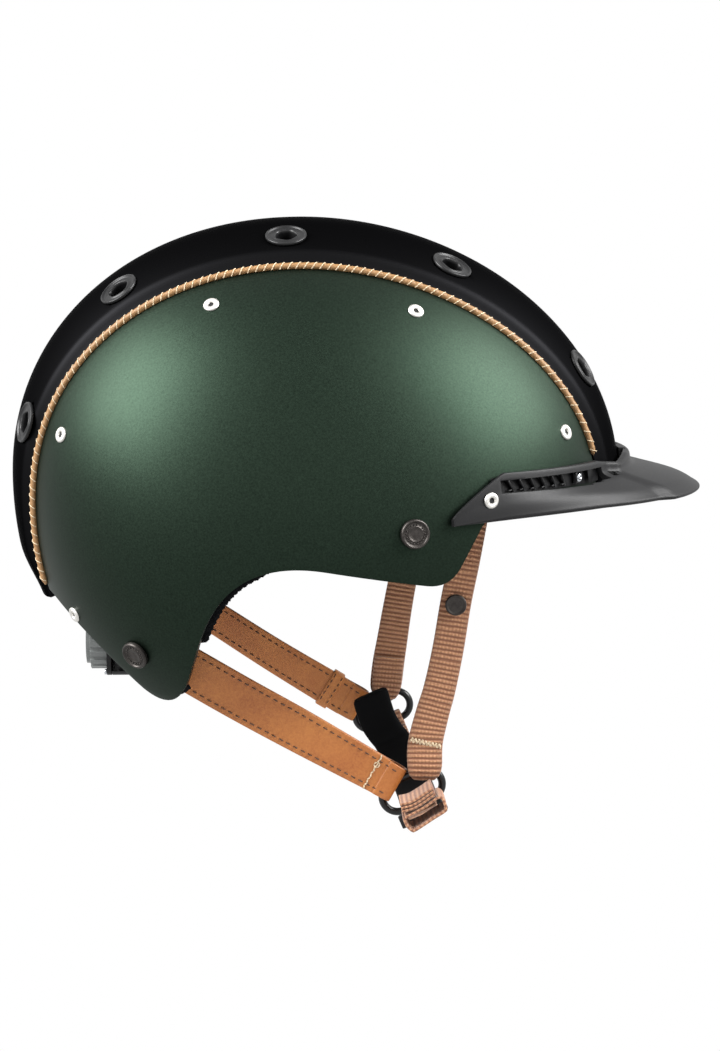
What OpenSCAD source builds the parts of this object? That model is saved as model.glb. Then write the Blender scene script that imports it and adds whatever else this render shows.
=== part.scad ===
// Riding helmet: two metallic side panels, a raised crown band with ten vents,
// a short wrap-round visor, foam and fabric inside, a head band with a turning
// dial, and a leather and webbing harness that meets at a chin strap.
// +X is the front, +Y the wearer's left, +Z up, in millimetres. The origin is
// the middle of the head opening, on the level of the ear arches.

/* [Shell form] */
// Reach of the side panels' surface ahead of the outline's centre
front_reach = 139; // [132:1:146]
// Reach of the side panels' surface behind the outline's centre
rear_reach = 127.5; // [121:0.5:134]
// Height of the side panels' surface over the outline's centre
top_reach = 111.5; // [104:0.5:118]
// Depth that the sides would reach below the outline's centre if they closed
low_reach = 140; // [134:1:146]
// Half of the width across the side panels
half_width = 108; // [104:1:112]
// Forward place of the outline's centre
centre_x = -8; // [-11:1:-5]
// Height of the outline's centre
centre_z = 25; // [22:1:28]
// Height at which the helmet is widest
waist_z = -3; // [-6:1:0]
// Wall of the moulded shells
shell_wall = 3; // [2:0.1:4]

/* [Crown band] */
// Half width of the band at the top of the head
crown_half_width = 50; // [46:1:53]
// Narrowing of each half of the band at the level of the outline's centre
crown_taper = 10; // [7:1:12]
// Rise of the band over the side panels
crown_raise = 4; // [3:0.5:5]
// Width of the sloping flank along each side of the band
flank_width = 5; // [4:0.5:6]
// Angle of the band's front end below the level of the outline's centre
crown_front_drop = 2.5; // [1.5:0.5:4]
// Angle of the band's rear end past the level of the outline's centre
crown_rear_drop = 24; // [20:1:26]

/* [Piping and rivets] */
// Diameter of the leather piping
piping_d = 3; // [2:0.1:4]
// Diameter of an eyelet rivet's rim
rivet_d = 7; // [5:0.5:9]
// Diameter of the hole through an eyelet rivet
rivet_hole_d = 2.2; // [1.5:0.1:3]
// Diameter of a rivet's shank
shank_d = 4; // [3.4:0.1:4.6]
// Distance of the rivets from the middle of the piping
rivet_offset = 12; // [9:0.5:14]

/* [Vents] */
// Diameter of a vent grommet's flange
grommet_d = 18; // [15:0.5:20]
// Height of a grommet's flange over the band
flange_h = 1; // [0.8:0.1:1.6]
// Diameter of the air hole in a grommet
vent_hole_d = 9; // [6:0.5:11]
// Distance of the top vents from the centre plane
vent_offset = 35; // [32:1:36]

/* [Lower edge] */
// Forward place of the brow edge's rear end
brow_x = 68; // [65:1:70]
// Height of the brow edge's rear end
brow_z = 16.5; // [14:0.5:17]
// Forward place of the lower front corner before rounding
corner_x = 52.5; // [50:0.5:55]
// Height of the lower front corner before rounding
corner_z = -12; // [-14:0.5:-10]
// Forward place of the ear arch's rear end before rounding
arch_x = -38; // [-41:1:-35]
// Height of the ear arch's rear end before rounding
arch_z = 0; // [-3:0.5:2]
// Forward place of the neck lobe's tip before rounding
lobe_x = -62; // [-65:1:-60]
// Height of the neck lobe's tip before rounding
lobe_z = -76; // [-78:1:-72]

/* [Liner] */
// Thickness of the foam liner
foam_thickness = 19; // [15:1:21]
// Setback of the foam from the shells' lower edge
foam_setback = 7; // [6:0.5:9]
// Thickness of the comfort pads at their middle
pad_thickness = 6; // [4:0.5:8]

/* [Visor] */
// Height of the visor's upper edge
visor_top_z = 36; // [33:0.5:38]
// Height of the visor's lower edge at its rear tips
visor_low_z = 15; // [14:0.5:17]
// Reach of the brim past the visor's root at the centre plane
brim_reach = 34; // [28:1:40]
// Angle from straight ahead to the visor's rear tips
visor_sweep = 58.5; // [56:0.5:61]
// Depth of the visor's root over the shells
visor_rim = 3.4; // [3:0.1:4]
// Wall of the visor
visor_wall = 2.4; // [2:0.1:2.8]
// Louvre fins in each grille
fin_count = 6; // [4:1:8]

/* [Studs] */
// Diameter of a press stud's cap
cap_d = 12.8; // [10:0.2:14]
// Height of a press stud's cap
cap_h = 2.2; // [1.6:0.1:3]
// Diameter of the pins that carry the head band
pin_d = 6; // [5:0.5:7]
// Forward place of the front studs
front_stud_x = 37; // [34:1:40]
// Height of the front studs
front_stud_z = 12.5; // [10:0.5:14]

/* [Harness] */
// Distance of the straps from the centre plane
strap_y = 62; // [60:0.5:64]
// Angle of the rings and of the straps' hinge line to the level
ring_slope = 23.5; // [22:0.5:25]
// Width of the leather straps
leather_w = 20.5; // [18:0.5:22]
// Thickness of the leather straps
leather_t = 2.8; // [2:0.1:3.2]
// Width of the webbing
web_w = 15; // [12:0.5:16]
// Thickness of the webbing
web_t = 1.5; // [1.2:0.1:2]
// Length of a strap ring
ring_length = 31; // [29:1:34]
// Height of a strap ring
ring_height = 17; // [15:0.5:19]
// Thickness of the ring's bars
ring_bar = 3.4; // [3:0.1:3.8]
// Width of the chin pad
chin_pad_w = 20; // [17:0.5:22]
// Thickness of the chin pad
chin_pad_t = 4.5; // [3.5:0.1:6]
// Drop of the chin strap's middle below its ends
chin_sag = 15; // [12:0.5:18]
// Distance that the left ring lies further back than the right one
left_setback = 4; // [2:1:6]
// Distance that the left ring lies higher than the right one
left_lift = 10; // [8:1:12]
// Diameter of the small snaps on the webbing
snap_d = 9.5; // [7:0.5:11]

/* [Head band] */
// Diameter of the dial
dial_d = 27; // [24:1:29]
// Thickness of the dial
dial_h = 9.5; // [7:0.5:11]
// Height of the dial's centre
dial_z = -52; // [-54:1:-50]
// Forward place of the gear housing's rear face
housing_x = -97.5; // [-99:0.5:-96]
// Depth of the gear housing
housing_depth = 13; // [12:0.5:14]
// Pitch radius of the pinion
pinion_r = 6; // [5.5:0.25:6.5]
// Width of the head band's strips
band_w = 12; // [9:0.5:13]
// Thickness of the head band's strips
band_t = 1.8; // [1.4:0.1:2.2]

/* [Clearances] */
// Clearance between parts that are fixed beside each other
seat_gap = 0.3; // [0.2:0.05:0.4]
// Clearance between parts that move past each other
run_gap = 0.4; // [0.3:0.05:0.5]
// Clearance round a shaft that turns in its bore
shaft_gap = 0.1; // [0.05:0.01:0.15]

/* [Hidden] */
green = "#46584a";
black = "#1c1c1d";
satin_black = "#343435";
tan = "#b07a4c";
web_tan = "#94704f";
chrome = "#c4c6c8";
pewter = "#5b5754";
foam_grey = "#3a3a3c";
steel = "#8c8e90";

// Powers of the side outline: below the centre, over the brow and over the nape
low_power = 2;
brow_power = 1.94;
nape_power = 2.1;
waist = [centre_x, waist_z];
halvings = 18;

function unit(v) = v / norm(v);
function flat(list) = [for (row = list) each row];
function mirrored(v) = [v[0], -v[1], v[2]];
function limited(v) = max(0, min(1, v));

// Side outline of the form, pushed out by a gap: its reach at an angle from its centre
function outline_power(ahead, above) = above < 0 ? low_power : (ahead > 0 ? brow_power : nape_power);
function outline_across(ahead, gap) = (ahead > 0 ? front_reach : rear_reach) + gap;
function outline_along(above, gap) = (above > 0 ? top_reach : low_reach) + gap;
function outline_level(p, gap) =
    let (ahead = p[0] - centre_x, above = p[1] - centre_z, power = outline_power(ahead, above))
    pow(abs(ahead) / outline_across(ahead, gap), power)
        + pow(abs(above) / outline_along(above, gap), power);
function outline_point(angle, gap) =
    let (way = [cos(angle), sin(angle)], centre = [centre_x, centre_z])
    centre + way * pow(outline_level(centre + way, gap), -1 / outline_power(way[0], way[1]));

// Each slice beside the centre plane is the outline drawn in towards the waist
function slice_share(y, gap) = sqrt(max(0, 1 - pow(y / (half_width + gap), 2)));
function form_point(angle, y, gap) =
    let (p = waist + (outline_point(angle, gap) - waist) * slice_share(y, gap))
    [p[0], y, p[1]];
function inside(p, gap) =
    let (share = slice_share(p[1], gap))
    share > 0 && outline_level(waist + ([p[0], p[2]] - waist) / share, gap) < 1;

// Distance along a way from a place inside the form out to its surface, by halving
function way_out(from, way, gap, low = 0, high = 190, left = halvings) =
    left == 0 ? (low + high) / 2 :
    let (middle = (low + high) / 2, within = inside(from + way * middle, gap))
    way_out(from, way, gap, within ? middle : low, within ? high : middle, left - 1);
function side_point(p, gap) = [p[0], -way_out([p[0], 0, p[1]], [0, -1, 0], gap), p[1]];
function level_reach(turn, z, gap) = way_out([centre_x, 0, z], [cos(turn), sin(turn), 0], gap);

// Directions square to the form
function form_normal(angle, y, gap) =
    let (along = form_point(angle + 1, y, gap) - form_point(angle - 1, y, gap),
         across = form_point(angle, y + 1, gap) - form_point(angle, y - 1, gap))
    unit(cross(across, along));
function side_normal(p, gap) =
    let (along = side_point(p + [1, 0], gap) - side_point(p - [1, 0], gap),
         up = side_point(p + [0, 1], gap) - side_point(p - [0, 1], gap))
    unit(cross(along, up));

// Half width of the crown band at an angle in side view
taper_power = 1.5;
function band_half(angle) = crown_half_width - crown_taper * pow(1 - sin(angle), taper_power);
crown_from = -crown_front_drop;
crown_to = 180 + crown_rear_drop;
channel_half = piping_d / 2 + seat_gap;

// Grid of quads between rows of points
function grid_faces(rows, cols, first, flip) =
    [for (r = [0:rows - 2], c = [0:cols - 2])
        let (a = first + r * cols + c, b = a + 1, d = a + cols, e = d + 1)
        each flip ? [[a, b, e], [a, e, d]] : [[a, e, b], [a, d, e]]];

// A sheet with a wall: two grids of the same size joined round their edges
module walled_sheet(outer, inner) {
    rows = len(outer);
    cols = len(outer[0]);
    count = rows * cols;
    polyhedron(points = concat(flat(outer), flat(inner)),
        faces = concat(
            grid_faces(rows, cols, 0, false),
            grid_faces(rows, cols, count, true),
            [for (c = [0:cols - 2]) each [[c, c + 1, count + c + 1], [c, count + c + 1, count + c]]],
            [for (c = [0:cols - 2])
                let (a = (rows - 1) * cols + c)
                each [[a, count + a + 1, a + 1], [a, count + a, count + a + 1]]],
            [for (r = [0:rows - 2])
                let (a = r * cols, b = a + cols)
                each [[a, count + b, b], [a, count + a, count + b]]],
            [for (r = [0:rows - 2])
                let (a = r * cols + cols - 1, b = a + cols)
                each [[a, b, count + b], [a, count + b, count + a]]]));
}

// A dish with a wall: rings of points round two poles, joined at the last ring
module walled_dish(outer, inner, outer_pole, inner_pole) {
    rings = len(outer);
    count = len(outer[0]);
    half = rings * count;
    function ring_faces(first, flip) =
        [for (r = [0:rings - 2], c = [0:count - 1])
            let (a = first + r * count + c, b = first + r * count + (c + 1) % count)
            each flip ? [[a, b, b + count], [a, b + count, a + count]]
                : [[a, b + count, b], [a, a + count, b + count]]];
    polyhedron(points = concat(flat(outer), flat(inner), [outer_pole, inner_pole]),
        faces = concat(
            ring_faces(0, false),
            ring_faces(half, true),
            [for (c = [0:count - 1]) [2 * half, c, (c + 1) % count]],
            [for (c = [0:count - 1]) [2 * half + 1, half + (c + 1) % count, half + c]],
            [for (c = [0:count - 1])
                let (a = (rings - 1) * count + c, b = (rings - 1) * count + (c + 1) % count)
                each [[a, half + b, b], [a, half + a, half + b]]]));
}

// A tube through rings of points, closed by a face at each end
module tube(rings) {
    count = len(rings[0]);
    last = len(rings) - 1;
    polyhedron(points = flat(rings),
        faces = concat(
            [for (r = [0:last - 1], c = [0:count - 1])
                let (a = r * count + c, b = r * count + (c + 1) % count)
                each [[a, b, b + count], [a, b + count, a + count]]],
            [for (c = [1:count - 2]) [0, c + 1, c]],
            [for (c = [1:count - 2]) [last * count, last * count + c, last * count + c + 1]]));
}

// Puts its children at a place with their Z axis along a direction
module seated(at, normal) {
    translate(at) rotate([0, acos(normal[2]), atan2(normal[1], normal[0])]) children();
}

module both_sides() {
    children();
    mirror([0, 1, 0]) children();
}

// Points round a corner that is cut back by a distance and blended
function corner(before, at, after, cut, steps) =
    let (from = at + unit(before - at) * cut, to = at + unit(after - at) * cut)
    [for (i = [0:steps]) let (t = i / steps)
        from * (1 - t) * (1 - t) + at * 2 * t * (1 - t) + to * t * t];

// Lower edge of a side panel in side view, from the brow back to the nape
brow_corner = [brow_x, brow_z];
front_corner = [corner_x, corner_z];
arch_corner = [arch_x, arch_z];
lobe_corner = [lobe_x, lobe_z];
brow_cut = 3;
front_cut = 10;
arch_cut = 34;
lobe_cut = 24;
seam_steps = 26;
seam_to = crown_to - 2;
panel_hub = [-38, 32];
function mixed(a, b, share) = a * (1 - share) + b * share;
function seam_point(angle, gap) =
    let (p = form_point(angle, band_half(angle) + channel_half, gap)) [p[0], p[2]];
function lower_edge() =
    let (start = seam_point(crown_from, 0), finish = seam_point(seam_to, 0))
    concat(
        [mixed(start, brow_corner, 0.33), mixed(start, brow_corner, 0.67)],
        corner(start, brow_corner, front_corner, brow_cut, 2),
        corner(brow_corner, front_corner, arch_corner, front_cut, 5),
        [mixed(front_corner, arch_corner, 0.27), mixed(front_corner, arch_corner, 0.43)],
        corner(front_corner, arch_corner, lobe_corner, arch_cut, 7),
        [mixed(arch_corner, lobe_corner, 0.56)],
        corner(arch_corner, lobe_corner, finish, lobe_cut, 6),
        [mixed(lobe_corner, finish, 0.5), mixed(lobe_corner, finish, 0.76)]);
function seam_edge(gap) =
    [for (i = [0:seam_steps]) seam_point(seam_to + (crown_from - seam_to) * i / seam_steps, gap)];

// Places of the fasteners in side view
rivet_angles = [14, 60, 115, 165];
nape_rivet = [-109, -30.5];
visor_rivet_turn = 50;
visor_rivet_z = 25;
visor_rivet_lift = 1.3;
front_stud = [front_stud_x, front_stud_z];
rear_stud = [-81, -43.5];

module at_rivets() {
    for (a = rivet_angles)
        seated(form_point(a, -band_half(a) - rivet_offset, 0),
            form_normal(a, -band_half(a) - rivet_offset, 0)) children();
    seated(side_point(nape_rivet, 0), side_normal(nape_rivet, 0)) children();
}

// Bore along Y for the pin of a front stud
module pin_bore(d) {
    translate([front_stud[0], -1.2 * half_width, front_stud[1]])
        rotate([-90, 0, 0]) cylinder(h = half_width, d = d, $fn = 32);
}

module side_shell() {
    rim_outer = concat(lower_edge(), seam_edge(0));
    rim_inner = concat(lower_edge(), seam_edge(-shell_wall));
    shares = [0.2, 0.42, 0.62, 0.78, 0.9, 0.965, 1];
    shank_hole = shank_d + 2 * seat_gap;
    difference() {
        walled_dish(
            [for (s = shares) [for (p = rim_outer) side_point(mixed(panel_hub, p, s), 0)]],
            [for (s = shares) [for (p = rim_inner) side_point(mixed(panel_hub, p, s), -shell_wall)]],
            side_point(panel_hub, 0), side_point(panel_hub, -shell_wall));
        at_rivets() cylinder(h = 4 * shell_wall, d = shank_hole, center = true, $fn = 24);
        seated(side_point(rear_stud, 0), side_normal(rear_stud, 0))
            cylinder(h = 4 * shell_wall, d = shank_hole, center = true, $fn = 24);
        pin_bore(pin_d + 2 * seat_gap);
    }
}

module side_shell_right() {
    color(green) side_shell();
}

module side_shell_left() {
    color(green) mirror([0, 1, 0]) side_shell();
}

// Vents as their angle and how much nearer the centre plane they lie than the top ones
vents = [[22, 9.5], [56, 2.5], [94, 0], [133, 0.5], [167, 2]];
barrel_d = vent_hole_d + 3;

module at_vents() {
    for (v = vents)
        seated(form_point(v[0], v[1] - vent_offset, crown_raise),
            form_normal(v[0], v[1] - vent_offset, crown_raise)) children();
}

crown_columns = [-1, -0.75, -0.45, -0.15, 0.15, 0.45, 0.75, 1];
function crown_row(angle, low_gap, high_gap) =
    let (edge = band_half(angle) - channel_half)
    concat([form_point(angle, -edge, low_gap)],
        [for (s = crown_columns) form_point(angle, s * (edge - flank_width), high_gap)],
        [form_point(angle, edge, low_gap)]);

module crown_shell() {
    steps = 40;
    angles = [for (i = [0:steps]) crown_from + (crown_to - crown_from) * i / steps];
    color(black) difference() {
        walled_sheet([for (a = angles) crown_row(a, seat_gap, crown_raise)],
            [for (a = angles) crown_row(a, -shell_wall, crown_raise - shell_wall)]);
        both_sides() at_vents()
            cylinder(h = 6 * shell_wall, d = barrel_d + 2 * seat_gap, center = true, $fn = 32);
    }
}

piping_sides = 8;
piping_gap = 0.6;
module piping(side) {
    steps = 42;
    from = atan2(visor_top_z + piping_d - centre_z, 0.92 * front_reach);
    to = crown_to - 3;
    function place(a) = form_point(a, side * band_half(a), piping_gap);
    tube([for (i = [0:steps])
        let (a = from + (to - from) * i / steps,
             ahead = unit(place(a + 1) - place(a - 1)),
             out = form_normal(a, side * band_half(a), piping_gap),
             across = cross(out, ahead))
        [for (c = [0:piping_sides - 1]) let (turn = 360 * c / piping_sides)
            place(a) + (out * cos(turn) + across * sin(turn)) * piping_d / 2]]);
}

module piping_right() {
    color(tan) piping(-1);
}

module piping_left() {
    color(tan) piping(1);
}

module vent_grommets() {
    color(black) both_sides() at_vents() difference() {
        union() {
            translate([0, 0, seat_gap]) cylinder(h = flange_h, d = grommet_d, $fn = 48);
            translate([0, 0, -shell_wall - 1]) cylinder(h = shell_wall + 2, d = barrel_d, $fn = 48);
        }
        cylinder(h = 6 * shell_wall, d = vent_hole_d, center = true, $fn = 48);
    }
}

module eyelet() {
    rim_h = 0.9;
    difference() {
        union() {
            translate([0, 0, seat_gap]) cylinder(h = rim_h, d = rivet_d, $fn = 32);
            translate([0, 0, -shell_wall]) cylinder(h = shell_wall + 1, d = shank_d, $fn = 32);
        }
        cylinder(h = 6 * shell_wall, d = rivet_hole_d, center = true, $fn = 32);
    }
}

module shell_rivets() {
    color(chrome) both_sides() {
        at_rivets() eyelet();
        at_visor_rivet() eyelet();
    }
}

module stud_cap() {
    rim_w = 0.8;
    rim_h = 0.5;
    difference() {
        cylinder(h = cap_h, d = cap_d, $fn = 48);
        translate([0, 0, cap_h - rim_h]) cylinder(h = 1, d = cap_d - 2 * rim_w, $fn = 48);
    }
}

// Distance of the head band's strip from the centre plane at the front studs, and its travel
foam_outer = -shell_wall - 3 * seat_gap;
foam_inner = foam_outer - foam_thickness;
band_gap = 0.9;
band_travel = 6;
foam_facet = 2.2;
band_ear = 15;
band_y = -side_point(front_stud + [band_ear / 2, 0], foam_inner - foam_facet)[1] - band_gap - band_t / 2;

module front_studs() {
    at = side_point(front_stud, 0);
    cap_lift = 2 * seat_gap;
    color(pewter) both_sides() {
        seated(at + side_normal(front_stud, 0) * cap_lift, side_normal(front_stud, 0)) stud_cap();
        translate([at[0], at[1] - cap_lift, at[2]]) rotate([-90, 0, 0])
            cylinder(h = cap_lift - at[1] - band_y + band_t + band_travel, d = pin_d, $fn = 32);
    }
}

module rear_studs() {
    color(pewter) both_sides() seated(side_point(rear_stud, 0), side_normal(rear_stud, 0)) {
        translate([0, 0, seat_gap]) stud_cap();
        translate([0, 0, -shell_wall]) cylinder(h = shell_wall + 1, d = shank_d, $fn = 24);
    }
}

form_centre = [centre_x, 0, centre_z];
foam_step = [8, 9];
function inward(edge, i, by) =
    let (last = len(edge) - 1, along = edge[min(last, i + 1)] - edge[max(0, i - 1)],
         across = unit([along[1], -along[0]]))
    edge[i] + unit(unit(panel_hub - edge[i]) + 1.5 * across) * by;
function foam_edge() =
    let (edge = lower_edge(), last = len(edge) - 1,
         side = [for (i = [0:last]) side_point(inward(edge, i, foam_setback), foam_outer)],
         rear = [for (k = [-3, -1, 1, 3]) form_point(crown_to - 5, foam_step[0] * k, foam_outer)],
         brow = [for (k = [3, 1, -1, -3]) form_point(crown_from + 4, foam_step[1] * k, foam_outer)])
    concat(side, rear, [for (i = [0:last]) mirrored(side[last - i])], brow);

module impact_liner() {
    edge = foam_edge();
    shares = [0.11, 0.23, 0.35, 0.47, 0.59, 0.7, 0.8, 0.9, 1];
    ways = [for (s = shares) [for (p = edge)
        let (way = unit(p - form_centre), fall = acos(way[2]) * s, turn = atan2(way[1], way[0]))
        [sin(fall) * cos(turn), sin(fall) * sin(turn), cos(fall)]]];
    function skin(gap) =
        [for (row = ways) [for (w = row) form_centre + w * way_out(form_centre, w, gap)]];
    color(foam_grey) difference() {
        walled_dish(skin(foam_outer), skin(foam_inner),
            form_point(90, 0, foam_outer), form_point(90, 0, foam_inner));
        both_sides() {
            at_vents() cylinder(h = 4 * foam_thickness, d = vent_hole_d, center = true, $fn = 24);
            pin_bore(pin_d + 2);
        }
        strap_slots(-1);
        strap_slots(1);
    }
}

// A crowned pad on the foam, thickest in the middle, its sides drawn in
pad_rows = 8;
pad_columns = 10;
pad_edge_share = 0.3;
pad_lift = 3.2;
pad_draw = 0.06;
function pad_rise(u, v) =
    let (swell = sqrt((1 - pow(u, 4)) * (1 - pow(v, 4))))
    pad_edge_share + (1 - pad_edge_share) * swell;
function pad_grid(thickness) =
    [for (i = [0:pad_rows]) let (u = 2 * i / pad_rows - 1)
        [for (j = [0:pad_columns]) let (v = 2 * j / pad_columns - 1)
            [u * (1 - pad_draw * (1 - v * v)), v * (1 - pad_draw * (1 - u * u)),
             foam_inner - pad_lift - thickness * pad_rise(u, v)]]];

// Pad that reaches across the centre plane, between two angles
module band_pad(from, to, half) {
    middle = (from + to) / 2;
    reach = (to - from) / 2;
    function skin(thickness) =
        [for (row = pad_grid(thickness))
            [for (p = row) form_point(middle + reach * p[0], half * p[1], p[2])]];
    color(black) walled_sheet(skin(0), skin(pad_thickness));
}

// Pads as their first and last angle in side view and half of their width
brow_span = [4, 26, 56];
crown_span = [70, 116, 20];
nape_span = [148, 176, 40];

module brow_pad() {
    band_pad(brow_span[0], brow_span[1], brow_span[2]);
}

module crown_pad() {
    band_pad(crown_span[0], crown_span[1], crown_span[2]);
}

module nape_pad() {
    band_pad(nape_span[0], nape_span[1], nape_span[2]);
}

side_pad_middle = [-18, 48];
side_pad_half = [42, 23];
module side_pads() {
    function skin(thickness) =
        [for (row = pad_grid(thickness)) [for (p = row)
            side_point(side_pad_middle + [side_pad_half[0] * p[1], side_pad_half[1] * p[0]], p[2])]];
    color(black) both_sides() walled_sheet(skin(0), skin(pad_thickness));
}

// Gathered lining that shows along the rear of the ear arch
lining_t = 1.4;
lining_inset = 1.5;
lining_show = 3.2;
gather = 0.9;
module ear_linings() {
    edge = lower_edge();
    first = 15;
    last = len(edge) - 6;
    function across(i) = unit([edge[i + 1][1] - edge[i - 1][1], edge[i - 1][0] - edge[i + 1][0]]);
    function skin(gap) =
        [for (i = [first:last]) [for (o = [lining_show + gather * (i % 2), 0, -lining_inset])
            side_point(edge[i] - across(i) * o, gap)]];
    color(black) both_sides() walled_sheet(skin(foam_outer), skin(foam_outer - lining_t));
}

// The visor's gap to the form, which steps out over the raised crown band
function visor_seat(turn) =
    let (half = band_half(0) - channel_half,
         share = limited((half + 4 - front_reach * sin(abs(turn))) / flank_width))
    2 * seat_gap + crown_raise * share;
function brim_out(turn) = brim_reach * pow(cos(90 * turn / visor_sweep), 2.7);
tip_turn = 12;
low_rise = 3.2;

// Outer profile of the visor as gap over the form and height, from the top edge down
function visor_profile(turn) =
    let (out = brim_out(turn), root = visor_seat(turn) + visor_rim,
         full = 0.16 + 0.84 * pow(limited((visor_sweep - abs(turn)) / tip_turn), 0.85),
         low = visor_low_z + low_rise * limited((visor_sweep - abs(turn)) / 30),
         top = low + (visor_top_z - low) * full,
         h = top - low)
    [[visor_seat(turn), top],
     [root - 0.7, top + 0.7 * full],
     [root + 0.06 * out, top - 1.2 * full],
     [root + 0.1 * out, top - 0.34 * h],
     [root + 0.42 * out, low + 0.5 * h],
     [root + 0.8 * out, low + 0.3 * h],
     [root + out, low + 0.1 * h],
     [root - 0.8 + out, low]];
function visor_lining(turn) =
    let (line = visor_profile(turn), last = len(line) - 1)
    [for (i = [0:last])
        let (ahead = unit(line[min(last, i + 1)] - line[max(0, i - 1)]))
        [max(visor_seat(turn), line[i][0] + ahead[1] * visor_wall), line[i][1] - ahead[0] * visor_wall]];
function visor_point(turn, p) =
    let (reach = level_reach(turn, p[1], 0) + p[0])
    [centre_x + reach * cos(turn), reach * sin(turn), p[1]];

// Slot of the grille: its ends as angles from straight ahead, and its heights
slot_from = 20;
slot_to = 47.5;
slot_low = 27.5;
slot_high = 33;

// Clip in a notch of the visor's root at the front, against the crown band
clip_w = 14;
clip_z = 28;
clip_t = 4;
clip_step = 0.6;

module slot_sector(low, high) {
    reach = 2 * front_reach;
    steps = 6;
    arc = [for (i = [0:steps]) -slot_to + (slot_to - slot_from) * i / steps];
    translate([centre_x, 0, low]) linear_extrude(high - low)
        polygon(concat([[0, 0]], [for (a = arc) reach * [cos(a), sin(a)]]));
}

module visor() {
    steps = 18;
    turns = [for (i = [-steps:steps])
        visor_sweep * (0.55 * i / steps + 0.45 * sin(90 * i / steps))];
    color(satin_black) difference() {
        walled_sheet([for (t = turns) [for (p = visor_profile(t)) visor_point(t, p)]],
            [for (t = turns) [for (p = visor_lining(t)) visor_point(t, p)]]);
        both_sides() {
            slot_sector(slot_low, slot_high);
            at_visor_rivet()
                cylinder(h = 4 * visor_rim, d = shank_d + 2 * seat_gap, center = true, $fn = 24);
        }
        translate([0, -clip_w / 2 - seat_gap, clip_z - seat_gap])
            cube([2 * front_reach, clip_w + 2 * seat_gap, visor_top_z]);
    }
}

module at_visor_rivet() {
    depth = visor_seat(visor_rivet_turn) + visor_rim + visor_rivet_lift;
    translate(visor_point(-visor_rivet_turn, [depth, visor_rivet_z]))
        rotate([0, 90, -visor_rivet_turn]) children();
}

// Grille in each slot: a curved back strip with slanted fins and a plate for the screw
back_t = 0.9;
fin_t = 1.3;
plate_turn = 30;
screw_turn = 24.5;
screw_d = 4.2;
screw_shank_d = 2;
grille_low = slot_low + seat_gap;
grille_high = slot_high - seat_gap;
slot_middle = (slot_low + slot_high) / 2;
plate_face = visor_rim - 0.6;
slot_inset = 0.5;

module curved_plate(from, to, depth, steps) {
    turns = [for (i = [0:steps]) -to + (to - from) * i / steps];
    walled_sheet(
        [for (t = turns) [for (z = [grille_high, grille_low]) visor_point(t, [depth, z])]],
        [for (t = turns) [for (z = [grille_high, grille_low]) visor_point(t, [seat_gap, z])]]);
}

module at_visor_screw() {
    translate(visor_point(-screw_turn, [plate_face, slot_middle]))
        rotate([0, 90, -screw_turn]) children();
}

module visor_grille() {
    fins_from = plate_turn + 1;
    fins_to = slot_to - slot_inset - 1;
    fin_h = grille_high - grille_low - 0.9;
    difference() {
        union() {
            curved_plate(slot_from + slot_inset, slot_to - slot_inset, seat_gap + back_t, 9);
            curved_plate(slot_from + slot_inset, plate_turn, plate_face, 4);
        }
        at_visor_screw() cylinder(h = 9, d = screw_shank_d + 2 * shaft_gap, center = true, $fn = 24);
    }
    for (i = [1:fin_count]) {
        t = -fins_from - (fins_to - fins_from) * (i - 0.5) / fin_count;
        translate(visor_point(t, [seat_gap + back_t / 2, slot_middle])) rotate([32, 0, t])
            translate([0, -fin_t / 2, -fin_h / 2]) cube([plate_face - 0.5, fin_t, fin_h]);
    }
}

module visor_grille_right() {
    color(black) visor_grille();
}

module visor_grille_left() {
    color(black) mirror([0, 1, 0]) visor_grille();
}

module visor_screws() {
    head_h = 1.4;
    color(steel) both_sides() at_visor_screw() difference() {
        union() {
            translate([0, 0, 2 * seat_gap]) cylinder(h = head_h, d = screw_d, $fn = 32);
            translate([0, 0, -plate_face + back_t]) cylinder(h = plate_face, d = screw_shank_d, $fn = 24);
        }
        translate([0, 0, 2 * seat_gap + head_h / 2]) cylinder(h = head_h, d = screw_d / 2, $fn = 6);
    }
}

module front_clip() {
    top = visor_top_z + 0.4;
    low = visor_point(0, [crown_raise + 2 * seat_gap, clip_z])[0];
    high = visor_point(0, [crown_raise + 2 * seat_gap, top])[0];
    color(black) translate([0, clip_w / 2, 0]) rotate([90, 0, 0]) linear_extrude(clip_w)
        polygon([[low, clip_z], [high, top], [high + clip_t - clip_step, top],
            [high + clip_t, top - clip_step], [low + clip_t + clip_step, clip_z]]);
}

// Harness frame: its origin is the right ring's middle, X along the ring and Z up across it
ring_at = [38.7, -108.5];
front_exit = [70, 12.5];
function harness_spot(p) =
    let (d = p - ring_at)
    [d[0] * cos(ring_slope) + d[1] * sin(ring_slope), d[1] * cos(ring_slope) - d[0] * sin(ring_slope)];
hinge_up = harness_spot(front_exit)[1];
hinge_gap = 0.45;
bar_up = ring_height / 2 - ring_bar / 2;
left_shift = [-left_setback, left_lift];

// Paths of the straps' middles in their own ring's frame, from the ring up to the hinge line
web_path = [[6.6, 3.4], [16.8, 21.4], [42.1, 50.3], [55, 74.8], [77, hinge_up - hinge_gap]];
leather_path = [[-4.6, 4.6], [-32.8, 48.3], [-71.5, hinge_up - hinge_gap]];
left_web_path = [[3.6, 6.5], [18, 30], [32.2, 51.9], [66, hinge_up - hinge_gap]];
left_leather_path = [[-11.5, 9.5], [-56.5, 70.5], [-68, hinge_up - hinge_gap]];
leather_end_share = 0.72;
web_end_share = 0.9;

module in_harness() {
    translate([ring_at[0], 0, ring_at[1]]) rotate([0, -ring_slope, 0]) children();
}

module left_harness() {
    in_harness() mirror([0, 1, 0]) translate([left_shift[0], 0, left_shift[1]]) children();
}

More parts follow.
